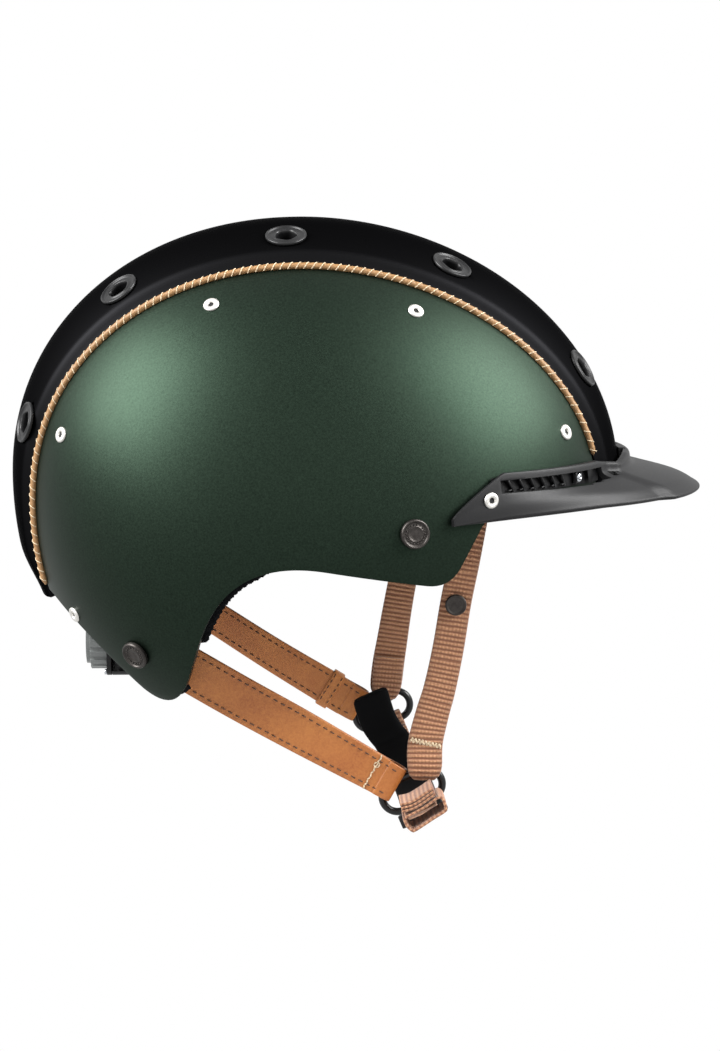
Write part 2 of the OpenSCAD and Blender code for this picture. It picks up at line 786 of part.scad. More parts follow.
// Half of a strap's width measured along the hinge line, at one point of its path
function slanted_half(path, i, width) =
    let (way = path[min(i + 1, len(path) - 1)] - path[max(i - 1, 0)])
    width / 2 * norm(way) / abs(way[1]);

// Flat strap along a path, narrowed at the ring
module flat_strap(path, width, end_share, thickness) {
    last = len(path) - 1;
    tube([for (i = [0:last])
        let (p = path[last - i], half = slanted_half(path, last - i, width) * (i == last ? end_share : 1))
        [[p[0] - half, -thickness / 2, p[1]], [p[0] + half, -thickness / 2, p[1]],
         [p[0] + half, thickness / 2, p[1]], [p[0] - half, thickness / 2, p[1]]]]);
}

loop_t = 1.3;
module stadium(reach, half) {
    square([2 * (reach - half), 2 * half], center = true);
    for (s = [-1, 1]) translate([s * (reach - half), 0]) circle(half, $fn = 40);
}

module ring_body(grow) {
    outer = ring_length / 2;
    half = ring_height / 2;
    rotate([90, 0, 0]) linear_extrude(ring_bar + 2 * grow, center = true) difference() {
        stadium(outer + grow, half + grow);
        stadium(outer - ring_bar - grow, half - ring_bar - grow);
    }
}

// Strap with its end folded round the ring
module looped_strap(path, width, end_share, thickness, skin) {
    way = path[1] - path[0];
    deep = ring_bar + 2 * skin;
    fold_l = 11;
    translate([0, -strap_y, 0]) difference() {
        union() {
            flat_strap(path, width, end_share, thickness);
            translate([path[0][0], 0, path[0][1]]) rotate([0, atan2(way[0], way[1]), 0])
                translate([-width * end_share / 2, -deep / 2, -0.8]) cube([width * end_share, deep, fold_l]);
        }
        ring_body(seat_gap);
    }
}

// Snap on the outer face of the webbing
snap_h = 2;
right_snap = [51.6, 68.6];
left_snap = [44.3, 68.6];
module snap(at) {
    rim = 0.9;
    translate([at[0], -strap_y - web_t / 2 - seat_gap / 2, at[1]]) rotate([90, 0, 0]) difference() {
        cylinder(h = snap_h, d = snap_d, $fn = 40);
        translate([0, 0, snap_h - 0.4]) cylinder(h = 1, d = snap_d - 2 * rim, $fn = 40);
    }
}

module leather_right() {
    color(tan) in_harness() looped_strap(leather_path, leather_w, leather_end_share, leather_t, 1.6);
}

module leather_left() {
    color(tan) left_harness() looped_strap(left_leather_path, leather_w, leather_end_share, leather_t, 1.6);
}

module webbing_right() {
    color(web_tan) in_harness() looped_strap(web_path, web_w, web_end_share, web_t, loop_t);
}

module webbing_left() {
    color(web_tan) left_harness() looped_strap(left_web_path, web_w, web_end_share, web_t, loop_t);
}

module ring_right() {
    color(black) in_harness() translate([0, -strap_y, 0]) ring_body(0);
}

module ring_left() {
    color(black) left_harness() translate([0, -strap_y, 0]) ring_body(0);
}

module snap_right() {
    color(pewter) in_harness() snap(right_snap);
}

module snap_left() {
    color(pewter) left_harness() snap(left_snap);
}

// Short strap ends that stay inside the shell: from the hinge line up and out to the wall
anchor_web = [70, 26];
anchor_leather = [-77, -43.5];
anchor_half = 5.5;
module strap_end(anchor, top, half, thickness, grow) {
    tip = harness_spot(anchor);
    wall = min([for (a = [-1, 1], b = [-1, 1])
        -side_point(anchor + [anchor_half * a, anchor_half * a * tan(ring_slope) + 2 * b], -shell_wall)[1]]);
    root = top + [0, 2 * hinge_gap];
    function spot(share, y, up) = [mixed(root[0], tip[0], share), -y, up];
    path = [spot(0, strap_y, root[1]), spot(0.2, strap_y, root[1] + 3),
        spot(0.4, strap_y + 2.5, root[1] + 5.5), spot(1, wall - seat_gap + 2 * grow, tip[1])];
    last = len(path) - 1;
    tube([for (i = [0:last])
        let (way = path[min(i + 1, last)] - path[max(i - 1, 0)],
             out = unit([0, way[2], -way[1]]) * (thickness / 2 + grow),
             wide = [mixed(half, anchor_half, i / last) + grow, 0, 0])
        [path[i] - wide - out, path[i] - wide + out, path[i] + wide + out, path[i] + wide - out]]);
}

// What each strap of a side hangs from: anchor, top of its path, half width there and thickness
function strap_roots(side) =
    let (paths = side < 0 ? [web_path, leather_path] : [left_web_path, left_leather_path],
         shift = side < 0 ? [0, 0] : left_shift)
    [for (s = [[anchor_web, paths[0], web_w, web_t], [anchor_leather, paths[1], leather_w, leather_t]])
        let (last = len(s[1]) - 1)
        [s[0], s[1][last] + shift, slanted_half(s[1], last, s[2]), s[3]]];

module strap_anchors() {
    color(tan) in_harness() {
        for (s = strap_roots(-1)) strap_end(s[0], s[1], s[2], s[3], 0);
        mirror([0, 1, 0]) for (s = strap_roots(1)) strap_end(s[0], s[1], s[2], s[3], 0);
    }
}

// Room in the foam round the strap ends, and under the hinge line where the straps swing
swing_half = 10.5;
slot_gap = 1;
slot_side = 7;
slot_drop = 46;
module strap_slots(side) {
    in_harness() mirror([0, side < 0 ? 0 : 1, 0]) for (s = strap_roots(side)) {
        strap_end(s[0], s[1], s[2], s[3], slot_gap);
        translate([s[1][0] - s[2] - slot_side, -strap_y - swing_half, s[1][1] - slot_drop])
            cube([2 * (s[2] + slot_side), 2 * swing_half, slot_drop + 2 * hinge_gap]);
    }
}

// Chin strap: loops round the two lower bars, with the strap hanging between them
loop_r = ring_bar * 0.72 + run_gap;
chin_low = -bar_up - loop_r - loop_t;
function chin_share(y) = (y + strap_y) / (2 * strap_y);
function chin_spot(y) =
    [left_shift[0] * chin_share(y), y,
     chin_low + web_t / 2 + left_shift[1] * chin_share(y) - chin_sag * (1 - pow(y / strap_y, 2))];
chin_skew = atan2(-left_shift[0], 2 * strap_y);
function chin_tilt(y) = atan2(left_shift[1] / 2 / strap_y + 2 * chin_sag * y / strap_y / strap_y, 1);

module chin_run(from, to, width, low, high, steps) {
    tube([for (i = [0:steps])
        let (y = from + (to - from) * i / steps, at = chin_spot(y), half = width / 2)
        [at + [-half, 0, low], at + [half, 0, low], at + [half, 0, high], at + [-half, 0, high]]]);
}

module at_chin(y) {
    translate(chin_spot(y)) rotate([0, 0, chin_skew]) rotate([chin_tilt(y), 0, 0]) children();
}

module bar_loop() {
    translate([0, 0, -bar_up]) rotate([0, 90, 0]) difference() {
        cylinder(h = web_w, r = loop_r + loop_t, center = true, $fn = 48);
        cylinder(h = 2 * web_w, r = loop_r, center = true, $fn = 48);
    }
}

buckle_y = -43;
buckle_w = 22;
buckle_t = 6;
socket_l = 19;
plug_l = 7;
pad_from = -25;
pad_to = 50;

module chin_webbing() {
    color(web_tan) in_harness() {
        translate([0, -strap_y, 0]) bar_loop();
        chin_run(-strap_y + 0.2, buckle_y - socket_l / 2 - seat_gap, web_w, -web_t / 2, web_t / 2, 3);
        translate([left_shift[0], strap_y, left_shift[1]]) bar_loop();
        chin_run(buckle_y + socket_l / 2 + plug_l + run_gap, strap_y - 0.2,
            web_w, -web_t / 2, web_t / 2, 16);
    }
}

// Crowned pad that lies on the chin webbing and turns up inside the left ring
pad_turned = [[-1, 1.8, 4.5], [-1.5, 1.1, 11], [-0.5, -0.6, 18], [1, -2.2, 26]];
pad_drift = 5;
module chin_pad() {
    steps = 12;
    run = [for (i = [0:steps]) let (y = pad_from + (pad_to - pad_from) * i / steps, at = chin_spot(y))
        [at[0], y, at[2] + web_t / 2 + seat_gap + chin_pad_t / 2]];
    end = run[steps];
    path = concat(run, [for (p = pad_turned) end + p]);
    last = len(path) - 1;
    color(black) in_harness() tube([for (i = [0:last])
        let (way = path[min(i + 1, last)] - path[max(i - 1, 0)], up = unit([0, -way[2], way[1]]),
             swell = sqrt(1 - pow(2 * i / last - 1, 6)), half = chin_pad_w / 2 * (0.86 + 0.14 * swell),
             thick = chin_pad_t / 2, crown = thick * (0.2 + 0.8 * swell),
             at = path[i] - [pad_drift * pow(max(0, i / last - 0.2), 2), 0, 0])
        [for (c = [[-1, -thick], [1, -thick], [1, 0.2 * crown], [0.7, crown], [-0.7, crown],
            [-1, 0.2 * crown]])
            at + [c[0] * half, 0, 0] + up * c[1]]]);
}

module buckle_outline(length) {
    round_r = 2;
    square([buckle_w - 2 * round_r, length], center = true);
    square([buckle_w, length - 2 * round_r], center = true);
    for (x = [-1, 1], y = [-1, 1])
        translate([x * (buckle_w / 2 - round_r), y * (length / 2 - round_r)]) circle(round_r, $fn = 24);
}

// Socket that is open towards the plug, with a window for its button
tongue_w = 12;
tongue_t = 2.4;
tongue_back = 5;
socket_back = 2;
button_out = 1;
button_w = 8;
button_l = 9;
button_travel = 1.6;
module buckle_socket() {
    color(black) in_harness() at_chin(buckle_y) difference() {
        linear_extrude(buckle_t, center = true) buckle_outline(socket_l);
        translate([0, socket_back, 0])
            cube([tongue_w + 2 * run_gap, socket_l, tongue_t + 2 * run_gap], center = true);
        translate([-button_w / 2 - run_gap, -button_l / 2 - run_gap, -buckle_t])
            cube([button_w + 2 * run_gap, button_l + 2 * run_gap, buckle_t]);
    }
}

module buckle_plug() {
    color(black) in_harness() at_chin(buckle_y) {
        translate([0, socket_l / 2 + plug_l / 2 + seat_gap, 0])
            linear_extrude(buckle_t, center = true) buckle_outline(plug_l);
        translate([-tongue_w / 2, -socket_l / 2 + tongue_back, -tongue_t / 2])
            cube([tongue_w, socket_l - tongue_back + plug_l / 2, tongue_t]);
    }
}

module buckle_button() {
    color(satin_black) in_harness() at_chin(buckle_y)
        translate([-button_w / 2, -button_l / 2, -buckle_t / 2 - button_out])
            cube([button_w, button_l, button_out + buckle_t / 2 - tongue_t / 2 - run_gap - button_travel]);
}

// Folded free end of the chin webbing, which hangs in a loop outside the right ring
tail_w = 17.5;
tail_h = 7.5;
tail_deep = 13;
tail_lift = 1.8;
tail_loop_at = [1, -8.6];
tail_loop_turn = -12;
tail_fold_at = [1, -2.6];
tail_fold_turn = 20;
tail_fold_h = 4;
module strap_tail() {
    near = strap_y + ring_bar / 2 + loop_t + tail_lift;
    wall = web_t + 0.6;
    color(web_tan) in_harness() translate([0, -near, 0]) rotate([90, 0, 0]) linear_extrude(tail_deep) {
        translate(tail_loop_at) rotate(tail_loop_turn) difference() {
            square([tail_w, tail_h], center = true);
            square([tail_w - 2 * wall, tail_h - 2 * wall], center = true);
        }
        translate(tail_fold_at) rotate(tail_fold_turn) square([tail_w, tail_fold_h], center = true);
    }
}

// Head band: a strip from each front stud round to the gear housing
rack_t = 3;
rack_x = housing_x + 2 + (housing_depth - 4) / 2;
rack_back = 0.9;
rack_h = 3.4;
tooth_h = 0.8;
tooth_count = 12;
tooth_pitch = 2 * PI * pinion_r / tooth_count;
rack_end = 9;
rack_start = 30;
function curve(a, b, c, d, t) =
    a * pow(1 - t, 3) + b * 3 * t * pow(1 - t, 2) + c * 3 * t * t * (1 - t) + d * pow(t, 3);

module head_band(side) {
    rack_z = dial_z - side * (pinion_r + rack_back + rack_h / 2);
    from = [front_stud[0], -band_y, front_stud[1]];
    to = [rack_x, -rack_start, rack_z];
    bend_front = [0, -band_y - 4, front_stud[1] - 3];
    bend_rear = [-62, -58, -16];
    steps = 18;
    path = [for (i = [0:steps]) curve(from, bend_front, bend_rear, to, i / steps)];
    difference() {
        union() {
            tube([for (i = [0:steps])
                let (ahead = path[min(steps, i + 1)] - path[max(0, i - 1)],
                     out = unit([ahead[1], -ahead[0], 0]) * band_t / 2,
                     half = mixed(band_w, rack_h, pow(i / steps, 3)) / 2, up = [0, 0, half])
                [path[i] - out - up, path[i] + out - up, path[i] + out + up, path[i] - out + up]]);
            translate([from[0], -band_y - band_t / 2, from[2]])
                rotate([-90, 0, 0]) cylinder(h = band_t, d = band_ear, $fn = 40);
        }
        translate([from[0], -band_y - band_t, from[2]])
            rotate([-90, 0, 0]) cylinder(h = 2 * band_t, d = pin_d + 2 * shaft_gap, $fn = 32);
    }
    rack(side, rack_z);
}

// Straight rack that reaches over or under the pinion, its teeth towards it
module rack(side, rack_z) {
    count = 9;
    root = tooth_pitch * 0.28;
    tip = tooth_pitch * 0.14;
    translate([rack_x - rack_t / 2, -rack_start - 0.5, rack_z - rack_h / 2])
        cube([rack_t, rack_start + rack_end, rack_h]);
    for (i = [-count + 2:2])
        translate([rack_x - rack_t / 2, tooth_pitch * i, dial_z - side * pinion_r])
            mirror([0, 0, side > 0 ? 1 : 0]) rotate([90, 0, 90]) linear_extrude(rack_t)
                polygon([[-root, rack_back + 0.1], [-tip, -tooth_h],
                    [tip, -tooth_h], [root, rack_back + 0.1]]);
}

module head_band_right() {
    color(satin_black) head_band(-1);
}

module head_band_left() {
    color(satin_black) mirror([0, 1, 0]) head_band(1);
}

housing_w = 40;
housing_h = 28;
cover_t = 2;
plate_t = 2;
shaft_d = 5;
cover_screw_d = 1.4;
corner_r = 7;
screw_inset = 1.4;
module housing_plate(depth, w, h) {
    rotate([90, 0, 90]) linear_extrude(depth) {
        square([w - 2 * corner_r, h], center = true);
        square([w, h - 2 * corner_r], center = true);
        for (y = [-1, 1], z = [-1, 1])
            translate([y * (w / 2 - corner_r), z * (h / 2 - corner_r)]) circle(corner_r, $fn = 40);
    }
}

module at_cover_screws() {
    for (s = [-1, 1])
        translate([housing_x, s * (housing_w / 2 - corner_r), dial_z + s * (housing_h / 2 - screw_inset)])
            rotate([0, 90, 0]) children();
}

// Gear housing, open to the rear under its cover and at both ends for the racks
module gear_housing() {
    room = rack_h + rack_back + pinion_r + 1;
    color(satin_black) difference() {
        translate([housing_x + cover_t + seat_gap, 0, dial_z])
            housing_plate(housing_depth - cover_t - seat_gap, housing_w, housing_h);
        translate([housing_x, -housing_w, dial_z - room])
            cube([housing_depth - plate_t, 2 * housing_w, 2 * room]);
        translate([housing_x, 0, dial_z]) rotate([0, 90, 0])
            cylinder(h = 2 * housing_depth, d = shaft_d + 2 * shaft_gap, $fn = 40);
        at_cover_screws() cylinder(h = housing_depth - plate_t, d = cover_screw_d + 2 * shaft_gap, $fn = 24);
    }
}

module housing_cover() {
    color(satin_black) difference() {
        translate([housing_x, 0, dial_z]) housing_plate(cover_t, housing_w, housing_h);
        translate([housing_x - 1, 0, dial_z]) rotate([0, 90, 0])
            cylinder(h = housing_depth, d = shaft_d + 2 * shaft_gap, $fn = 40);
        at_cover_screws() translate([0, 0, -1])
            cylinder(h = housing_depth, d = cover_screw_d + 2 * shaft_gap, $fn = 24);
    }
}

module cover_screws() {
    head_d = 2.6;
    head_h = 1.2;
    color(steel) at_cover_screws() {
        translate([0, 0, -head_h - seat_gap / 2]) cylinder(h = head_h, d = head_d, $fn = 32);
        translate([0, 0, -head_h / 2]) cylinder(h = housing_depth / 2, d = cover_screw_d, $fn = 24);
    }
}

// Crowned cushion in front of the housing
module cradle_pad() {
    rows = 6;
    columns = 10;
    half_w = 25;
    half_h = 15;
    front = housing_x + housing_depth + seat_gap;
    function place(u, v, thick) =
        [front + thick * (1.2 + 3.8 * sqrt((1 - pow(u, 4)) * (1 - pow(v, 4)))),
         half_w * v * (1 - pad_draw * (1 - u * u)), dial_z + half_h * u * (1 - pad_draw * (1 - v * v))];
    function skin(thick) =
        [for (i = [0:rows]) [for (j = [0:columns]) place(2 * i / rows - 1, 2 * j / columns - 1, thick)]];
    color(black) walled_sheet(skin(1), skin(0));
}

// Pinion with its shaft, which runs from the housing's front plate into the dial
module drive_pinion() {
    root_r = pinion_r - 1.1;
    tip_r = pinion_r + tooth_h - 0.1;
    root_turn = 360 / tooth_count * 0.26;
    tip_turn_half = 360 / tooth_count * 0.12;
    color(satin_black) translate([rack_x - rack_t / 2, 0, dial_z]) rotate([90, 0, 90]) {
        linear_extrude(rack_t) polygon(pinion_points(root_r, tip_r, root_turn, tip_turn_half));
        translate([0, 0, -(rack_x - rack_t / 2 - housing_x) - dial_h / 2])
            cylinder(h = rack_x + rack_t / 2 - housing_x + dial_h / 2 + 4, d = shaft_d, $fn = 40);
    }
}

function pinion_points(root_r, tip_r, root_turn, tip_turn) =
    [for (i = [0:tooth_count - 1])
        let (a = 360 * (i + 0.5) / tooth_count + 90)
        each [for (s = [[-root_turn, root_r], [-tip_turn, tip_r], [tip_turn, tip_r], [root_turn, root_r]])
            s[1] * [cos(a + s[0]), sin(a + s[0])]]];

module dial_knob() {
    grips = 18;
    grip_d = 2.4;
    step_h = 2;
    step_w = 2.5;
    back = housing_x - run_gap;
    color(satin_black) translate([back, 0, dial_z]) rotate([0, -90, 0]) difference() {
        union() {
            cylinder(h = dial_h - step_h, d = dial_d, $fn = 60);
            cylinder(h = dial_h, d = dial_d - 2 * step_w, $fn = 60);
        }
        for (i = [0:grips - 1]) rotate([0, 0, 360 * i / grips])
            translate([dial_d / 2 + 0.3, 0, -1]) cylinder(h = 2 * dial_h, d = grip_d, $fn = 16);
        translate([0, 0, -1]) cylinder(h = dial_h / 2 + 1 + seat_gap, d = shaft_d + shaft_gap, $fn = 40);
    }
}

side_shell_right();
side_shell_left();
crown_shell();
piping_right();
piping_left();
vent_grommets();
shell_rivets();
visor();
visor_grille_right();
visor_grille_left();
visor_screws();
front_clip();
front_studs();
rear_studs();
impact_liner();
brow_pad();
crown_pad();
nape_pad();
side_pads();
ear_linings();
strap_anchors();
gear_housing();
housing_cover();
cover_screws();
cradle_pad();
head_band_right();
head_band_left();
dial_knob();
drive_pinion();
leather_right();
webbing_right();
ring_right();
snap_right();
leather_left();
webbing_left();
ring_left();
snap_left();
chin_webbing();
chin_pad();
buckle_socket();
buckle_plug();
buckle_button();
strap_tail();
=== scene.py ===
import math

import bmesh
import bpy
from mathutils import Matrix, Vector


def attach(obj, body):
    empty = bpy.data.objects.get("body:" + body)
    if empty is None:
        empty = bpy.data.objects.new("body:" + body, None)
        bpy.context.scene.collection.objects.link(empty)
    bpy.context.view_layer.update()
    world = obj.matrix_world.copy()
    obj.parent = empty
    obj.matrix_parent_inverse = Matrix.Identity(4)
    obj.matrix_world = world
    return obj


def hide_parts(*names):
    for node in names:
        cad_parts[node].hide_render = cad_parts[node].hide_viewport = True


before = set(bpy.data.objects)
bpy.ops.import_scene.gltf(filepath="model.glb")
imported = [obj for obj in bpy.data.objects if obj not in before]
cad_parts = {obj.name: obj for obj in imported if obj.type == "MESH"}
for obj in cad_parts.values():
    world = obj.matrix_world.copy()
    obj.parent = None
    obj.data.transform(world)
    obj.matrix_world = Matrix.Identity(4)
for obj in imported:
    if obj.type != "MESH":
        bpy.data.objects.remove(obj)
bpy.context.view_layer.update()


# Camera: 1.2 m from the wearer's right side, two degrees behind square and nine above level.
# The frame is 720 pixels wide, and each is 0.4575 mm wide in the helmet's middle plane.
view_target = Vector((0.01784, 0, 0))
view_distance = 1.2
view_azimuth = math.radians(-2)
view_elevation = math.radians(9)
frame_width = 720 * 0.4575e-3
towards_camera = Vector((math.sin(view_azimuth) * math.cos(view_elevation),
                         -math.cos(view_azimuth) * math.cos(view_elevation),
                         math.sin(view_elevation)))
lens = bpy.data.cameras.new("side_view")
lens.sensor_fit = "HORIZONTAL"
lens.sensor_width = 36
lens.lens = lens.sensor_width * view_distance / frame_width
camera = bpy.data.objects.new("side_view", lens)
camera.location = view_target + towards_camera * view_distance
camera.rotation_euler = (-towards_camera).to_track_quat("-Z", "Y").to_euler()
bpy.context.scene.collection.objects.link(camera)
bpy.context.scene.camera = camera


# Side panels: two glass-fibre shells lacquered in dark metallic green, each moulded in one
# piece from the crown band's piping down to the brow, the ear arch and the neck. Their edges
# are rounded, and rivets hold them to the crown band and the liner.
front_reach, rear_reach, top_reach, low_reach = 139, 127.5, 111.5, 140
low_power, front_power, rear_power = 2, 1.94, 2.1
half_width = 108
form_centre = (-8, 25)
waist = (-8, -3)
shell_wall = 3
crown_half_width, crown_taper, taper_power = 50, 10, 1.5
crown_from, crown_to = -2.5, 204
panel_to = crown_to - 2
channel_half, under_piping = 1.8, 1.2


def outline_level(x, z, gap):
    """Level of a place against the side outline pushed out by a gap, which is 1 on it."""
    ahead, above = x - form_centre[0], z - form_centre[1]
    power = low_power if above < 0 else (front_power if ahead > 0 else rear_power)
    across = (front_reach if ahead > 0 else rear_reach) + gap
    along = (top_reach if above > 0 else low_reach) + gap
    return (abs(ahead) / across) ** power + (abs(above) / along) ** power


def form_point(angle, y, gap):
    """Place on the form at an angle in side view, in degrees, and a distance to the side."""
    turn = math.radians(angle)
    way = (math.cos(turn), math.sin(turn))
    power = low_power if way[1] < 0 else (front_power if way[0] > 0 else rear_power)
    reach = outline_level(form_centre[0] + way[0], form_centre[1] + way[1], gap) ** (-1 / power)
    share = math.sqrt(max(0, 1 - (y / (half_width + gap)) ** 2))
    return Vector((waist[0] + (form_centre[0] + way[0] * reach - waist[0]) * share, y,
                   waist[1] + (form_centre[1] + way[1] * reach - waist[1]) * share))


def way_out(start, way, gap, farthest=190, halvings=22):
    """Distance from a place inside the form to its surface along a way, found by halving."""
    low, high = 0, farthest
    for _ in range(halvings):
        middle = (low + high) / 2
        x, y, z = (start[i] + way[i] * middle for i in range(3))
        share = 1 - (y / (half_width + gap)) ** 2
        within = share > 0
        if within:
            share = math.sqrt(share)
            within = outline_level(waist[0] + (x - waist[0]) / share,
                                   waist[1] + (z - waist[1]) / share, gap) < 1
        low, high = (middle, high) if within else (low, middle)
    return (low + high) / 2


def side_point(x, z, gap):
    return Vector((x, -way_out((x, 0, z), (0, -1, 0), gap), z))


def form_normal(angle, y, gap=0):
    along = form_point(angle + 1, y, gap) - form_point(angle - 1, y, gap)
    across = form_point(angle, y + 1, gap) - form_point(angle, y - 1, gap)
    return across.cross(along).normalized()


def side_normal(x, z, gap=0):
    along = side_point(x + 1, z, gap) - side_point(x - 1, z, gap)
    up = side_point(x, z + 1, gap) - side_point(x, z - 1, gap)
    return along.cross(up).normalized()


def band_half(angle):
    return crown_half_width - crown_taper * (1 - math.sin(math.radians(angle))) ** taper_power


def seam_point(angle, aside=channel_half):
    place = form_point(angle, band_half(angle) + aside, 0)
    return Vector((place.x, place.z))


def rounded_corner(before, at, after, cut, steps):
    """Points of a rounded corner, as a parabola between the two sides."""
    before, at, after = Vector(before), Vector(at), Vector(after)
    start, end = at + (before - at).normalized() * cut, at + (after - at).normalized() * cut
    return [start * (1 - t) ** 2 + at * 2 * t * (1 - t) + end * t * t
            for t in (i / steps for i in range(steps + 1))]


def along_line(points, share):
    """Place at a share of a line's length."""
    lengths = [(b - a).length for a, b in zip(points, points[1:])]
    left = share * sum(lengths)
    for a, b, length in zip(points, points[1:], lengths):
        if left <= length:
            return a + (b - a) * (left / length if length else 0)
        left -= length
    return points[-1].copy()


seam_front, seam_rear = seam_point(crown_from), seam_point(panel_to)
brow_corner, front_corner, arch_corner, lobe_corner = (68, 16.5), (52.5, -12), (-42.5, 4.5), (-64.5, -74)
brow_cut, front_cut, arch_cut, lobe_cut = 3, 10, 43, 22
lower_edge = ([seam_front]
              + rounded_corner(seam_front, brow_corner, front_corner, brow_cut, 8)
              + rounded_corner(brow_corner, front_corner, arch_corner, front_cut, 12)
              + rounded_corner(front_corner, arch_corner, lobe_corner, arch_cut, 24)
              + rounded_corner(arch_corner, lobe_corner, seam_rear, lobe_cut, 16)
              + [seam_rear])


def linear(colour):
    """Linear values of an sRGB hex colour."""
    channels = [int(colour[i:i + 2], 16) / 255 for i in (1, 3, 5)]
    return [c / 12.92 if c <= 0.04045 else ((c + 0.055) / 1.055) ** 2.4 for c in channels] + [1]


def set_sockets(tree, node, sockets):
    """Gives a node's sockets their values, or links them to other nodes' outputs."""
    for name, value in sockets.items():
        if isinstance(value, bpy.types.NodeSocket):
            tree.links.new(value, node.inputs[name])
        else:
            node.inputs[name].default_value = value


def add_node(tree, kind, sockets=None, **settings):
    """Adds a node with its settings, and sets or links its sockets."""
    node = tree.nodes.new(kind)
    for name, value in settings.items():
        setattr(node, name, value)
    set_sockets(tree, node, sockets or {})
    return node


def new_material(name):
    """New material, with its node tree and its shader."""
    material = bpy.data.materials.new(name)
    material.use_nodes = True
    return material, material.node_tree, material.node_tree.nodes["Principled BSDF"]


def surface(columns, rows, place, closed=False):
    """Grid whose points, as shares across and along it, go to their places in millimetres.
    Its UV map holds the shares. A closed one meets itself."""
    mesh = bmesh.new()
    bmesh.ops.create_grid(mesh, x_segments=columns, y_segments=rows, size=0.5, calc_uvs=True)
    shares = mesh.loops.layers.uv.verify()
    for face in mesh.faces:
        for loop in face.loops:
            loop[shares].uv = (loop.vert.co.x + 0.5, loop.vert.co.y + 0.5)
    for vert in mesh.verts:
        vert.co = place(min(1, max(0, vert.co.x + 0.5)), min(1, max(0, vert.co.y + 0.5)))
    if closed:
        bmesh.ops.remove_doubles(mesh, verts=mesh.verts, dist=1e-3)
    return mesh


def piece(name, mesh, material, body, stands_for=(), outward=None):
    """Turns a mesh in millimetres into a smooth object that rides on a body. An open sheet is
    turned to face away from the place that outward names."""
    bmesh.ops.scale(mesh, vec=Vector((0.001, 0.001, 0.001)), verts=mesh.verts)
    bmesh.ops.recalc_face_normals(mesh, faces=mesh.faces)
    if outward is not None:
        middle = Vector(outward) / 1000
        if sum(f.normal.dot(f.calc_center_median() - middle) * f.calc_area() for f in mesh.faces) < 0:
            bmesh.ops.reverse_faces(mesh, faces=mesh.faces)
    for face in mesh.faces:
        face.smooth = True
    data = bpy.data.meshes.new(name)
    mesh.to_mesh(data)
    mesh.free()
    data.materials.append(material)
    thing = bpy.data.objects.new(name, data)
    bpy.context.scene.collection.objects.link(thing)
    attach(thing, body)
    if stands_for:
        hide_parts(*stands_for)
    return thing


def wall(thing, thickness, edge=0.0, segments=2, offset=-1.0):
    """Gives a sheet its wall, inwards, and rounds the edges."""
    solid = thing.modifiers.new("wall", "SOLIDIFY")
    solid.thickness = thickness / 1000
    solid.offset = offset
    solid.use_even_offset = True
    if edge:
        round_edges(thing, edge, segments)


def round_edges(thing, edge, segments=2, angle=40):
    bevel = thing.modifiers.new("rounded edges", "BEVEL")
    bevel.width = edge / 1000
    bevel.segments = segments
    bevel.limit_method = "ANGLE"
    bevel.angle_limit = math.radians(angle)
    bevel.harden_normals = False


# Metallic lacquer: dark green base with fine aluminium flake under a satin clear coat. Square
# to a lamp it gives a soft, wide, pale green sheen, and elsewhere it reads nearly black. Real
# flake is too fine to show, so its grain is drawn 0.8 mm wide.
flake_size = 0.8
metallic_lacquer, tree, shader = new_material("metallic lacquer on moulded shell")
coords = add_node(tree, "ShaderNodeTexCoord").outputs["Object"]
flake = add_node(tree, "ShaderNodeTexNoise", {
    "Vector": coords, "Scale": 1000 / flake_size, "Detail": 3.0, "Roughness": 0.7}).outputs["Fac"]
tone = add_node(tree, "ShaderNodeMix", {
    "Factor": flake, "A": linear("#0e1410"), "B": linear("#2b382e")}, data_type="RGBA").outputs["Result"]
gloss = add_node(tree, "ShaderNodeMapRange", {"Value": flake, "To Min": 0.4, "To Max": 0.5}).outputs["Result"]
bumps = add_node(tree, "ShaderNodeBump", {"Height": flake, "Distance": 0.015e-3, "Strength": 0.5})
set_sockets(tree, shader, {"Base Color": tone, "Metallic": 1.0, "Roughness": gloss,
                           "Normal": bumps.outputs["Normal"]})

edge_trim = 0.008
for side, body_side in (("right", 1), ("left", -1)):
    def panel_place(across, down, flip=body_side):
        angle = crown_from + (panel_to - crown_from) * across
        top = seam_point(angle, channel_half - under_piping)
        low = along_line(lower_edge, edge_trim + (1 - 2 * edge_trim) * across)
        spot = top.lerp(low, down)
        place = side_point(spot.x, spot.y, 0)
        return Vector((place.x, place.y * flip, place.z))
    panel = piece("side_panel_" + side, surface(150, 44, panel_place), metallic_lacquer, "helmet",
                  ["side_shell_" + side], outward=(-8, 0, 0))
    wall(panel, shell_wall, 0.9, 3)


# Crown band: one moulded shell painted satin black. It stands 4 mm over the side panels on a
# sloping flank, thins to its rear end and carries ten air vents. The side panels' top edges
# lie under its piping.
crown_raise, edge_rise, flank_width = 4, 0.3, 5
rear_taper, rear_share = 11, 0.15
edge_crowding = 1.5
vents = ((22, 25.5), (56, 32.5), (94, 35), (133, 34.5), (167, 33))
vent_clearing = 6.6

# Satin black paint: nearly black from every side, with a broad dim sheen where a lamp meets
# the band's flank. Its orange peel is drawn 1.1 mm wide, coarser than the real one.
peel_size = 1.1
satin_black_paint, tree, shader = new_material("satin black paint on moulded shell")
coords = add_node(tree, "ShaderNodeTexCoord").outputs["Object"]
orange_peel = add_node(tree, "ShaderNodeTexNoise", {
    "Vector": coords, "Scale": 1000 / peel_size}).outputs["Fac"]
bumps = add_node(tree, "ShaderNodeBump", {"Height": orange_peel, "Distance": 0.015e-3, "Strength": 0.5})
set_sockets(tree, shader, {"Base Color": linear("#131314"), "Metallic": 1.0,
                           "Specular Tint": linear("#4c4c4c"), "Roughness": 0.5,
                           "Normal": bumps.outputs["Normal"]})


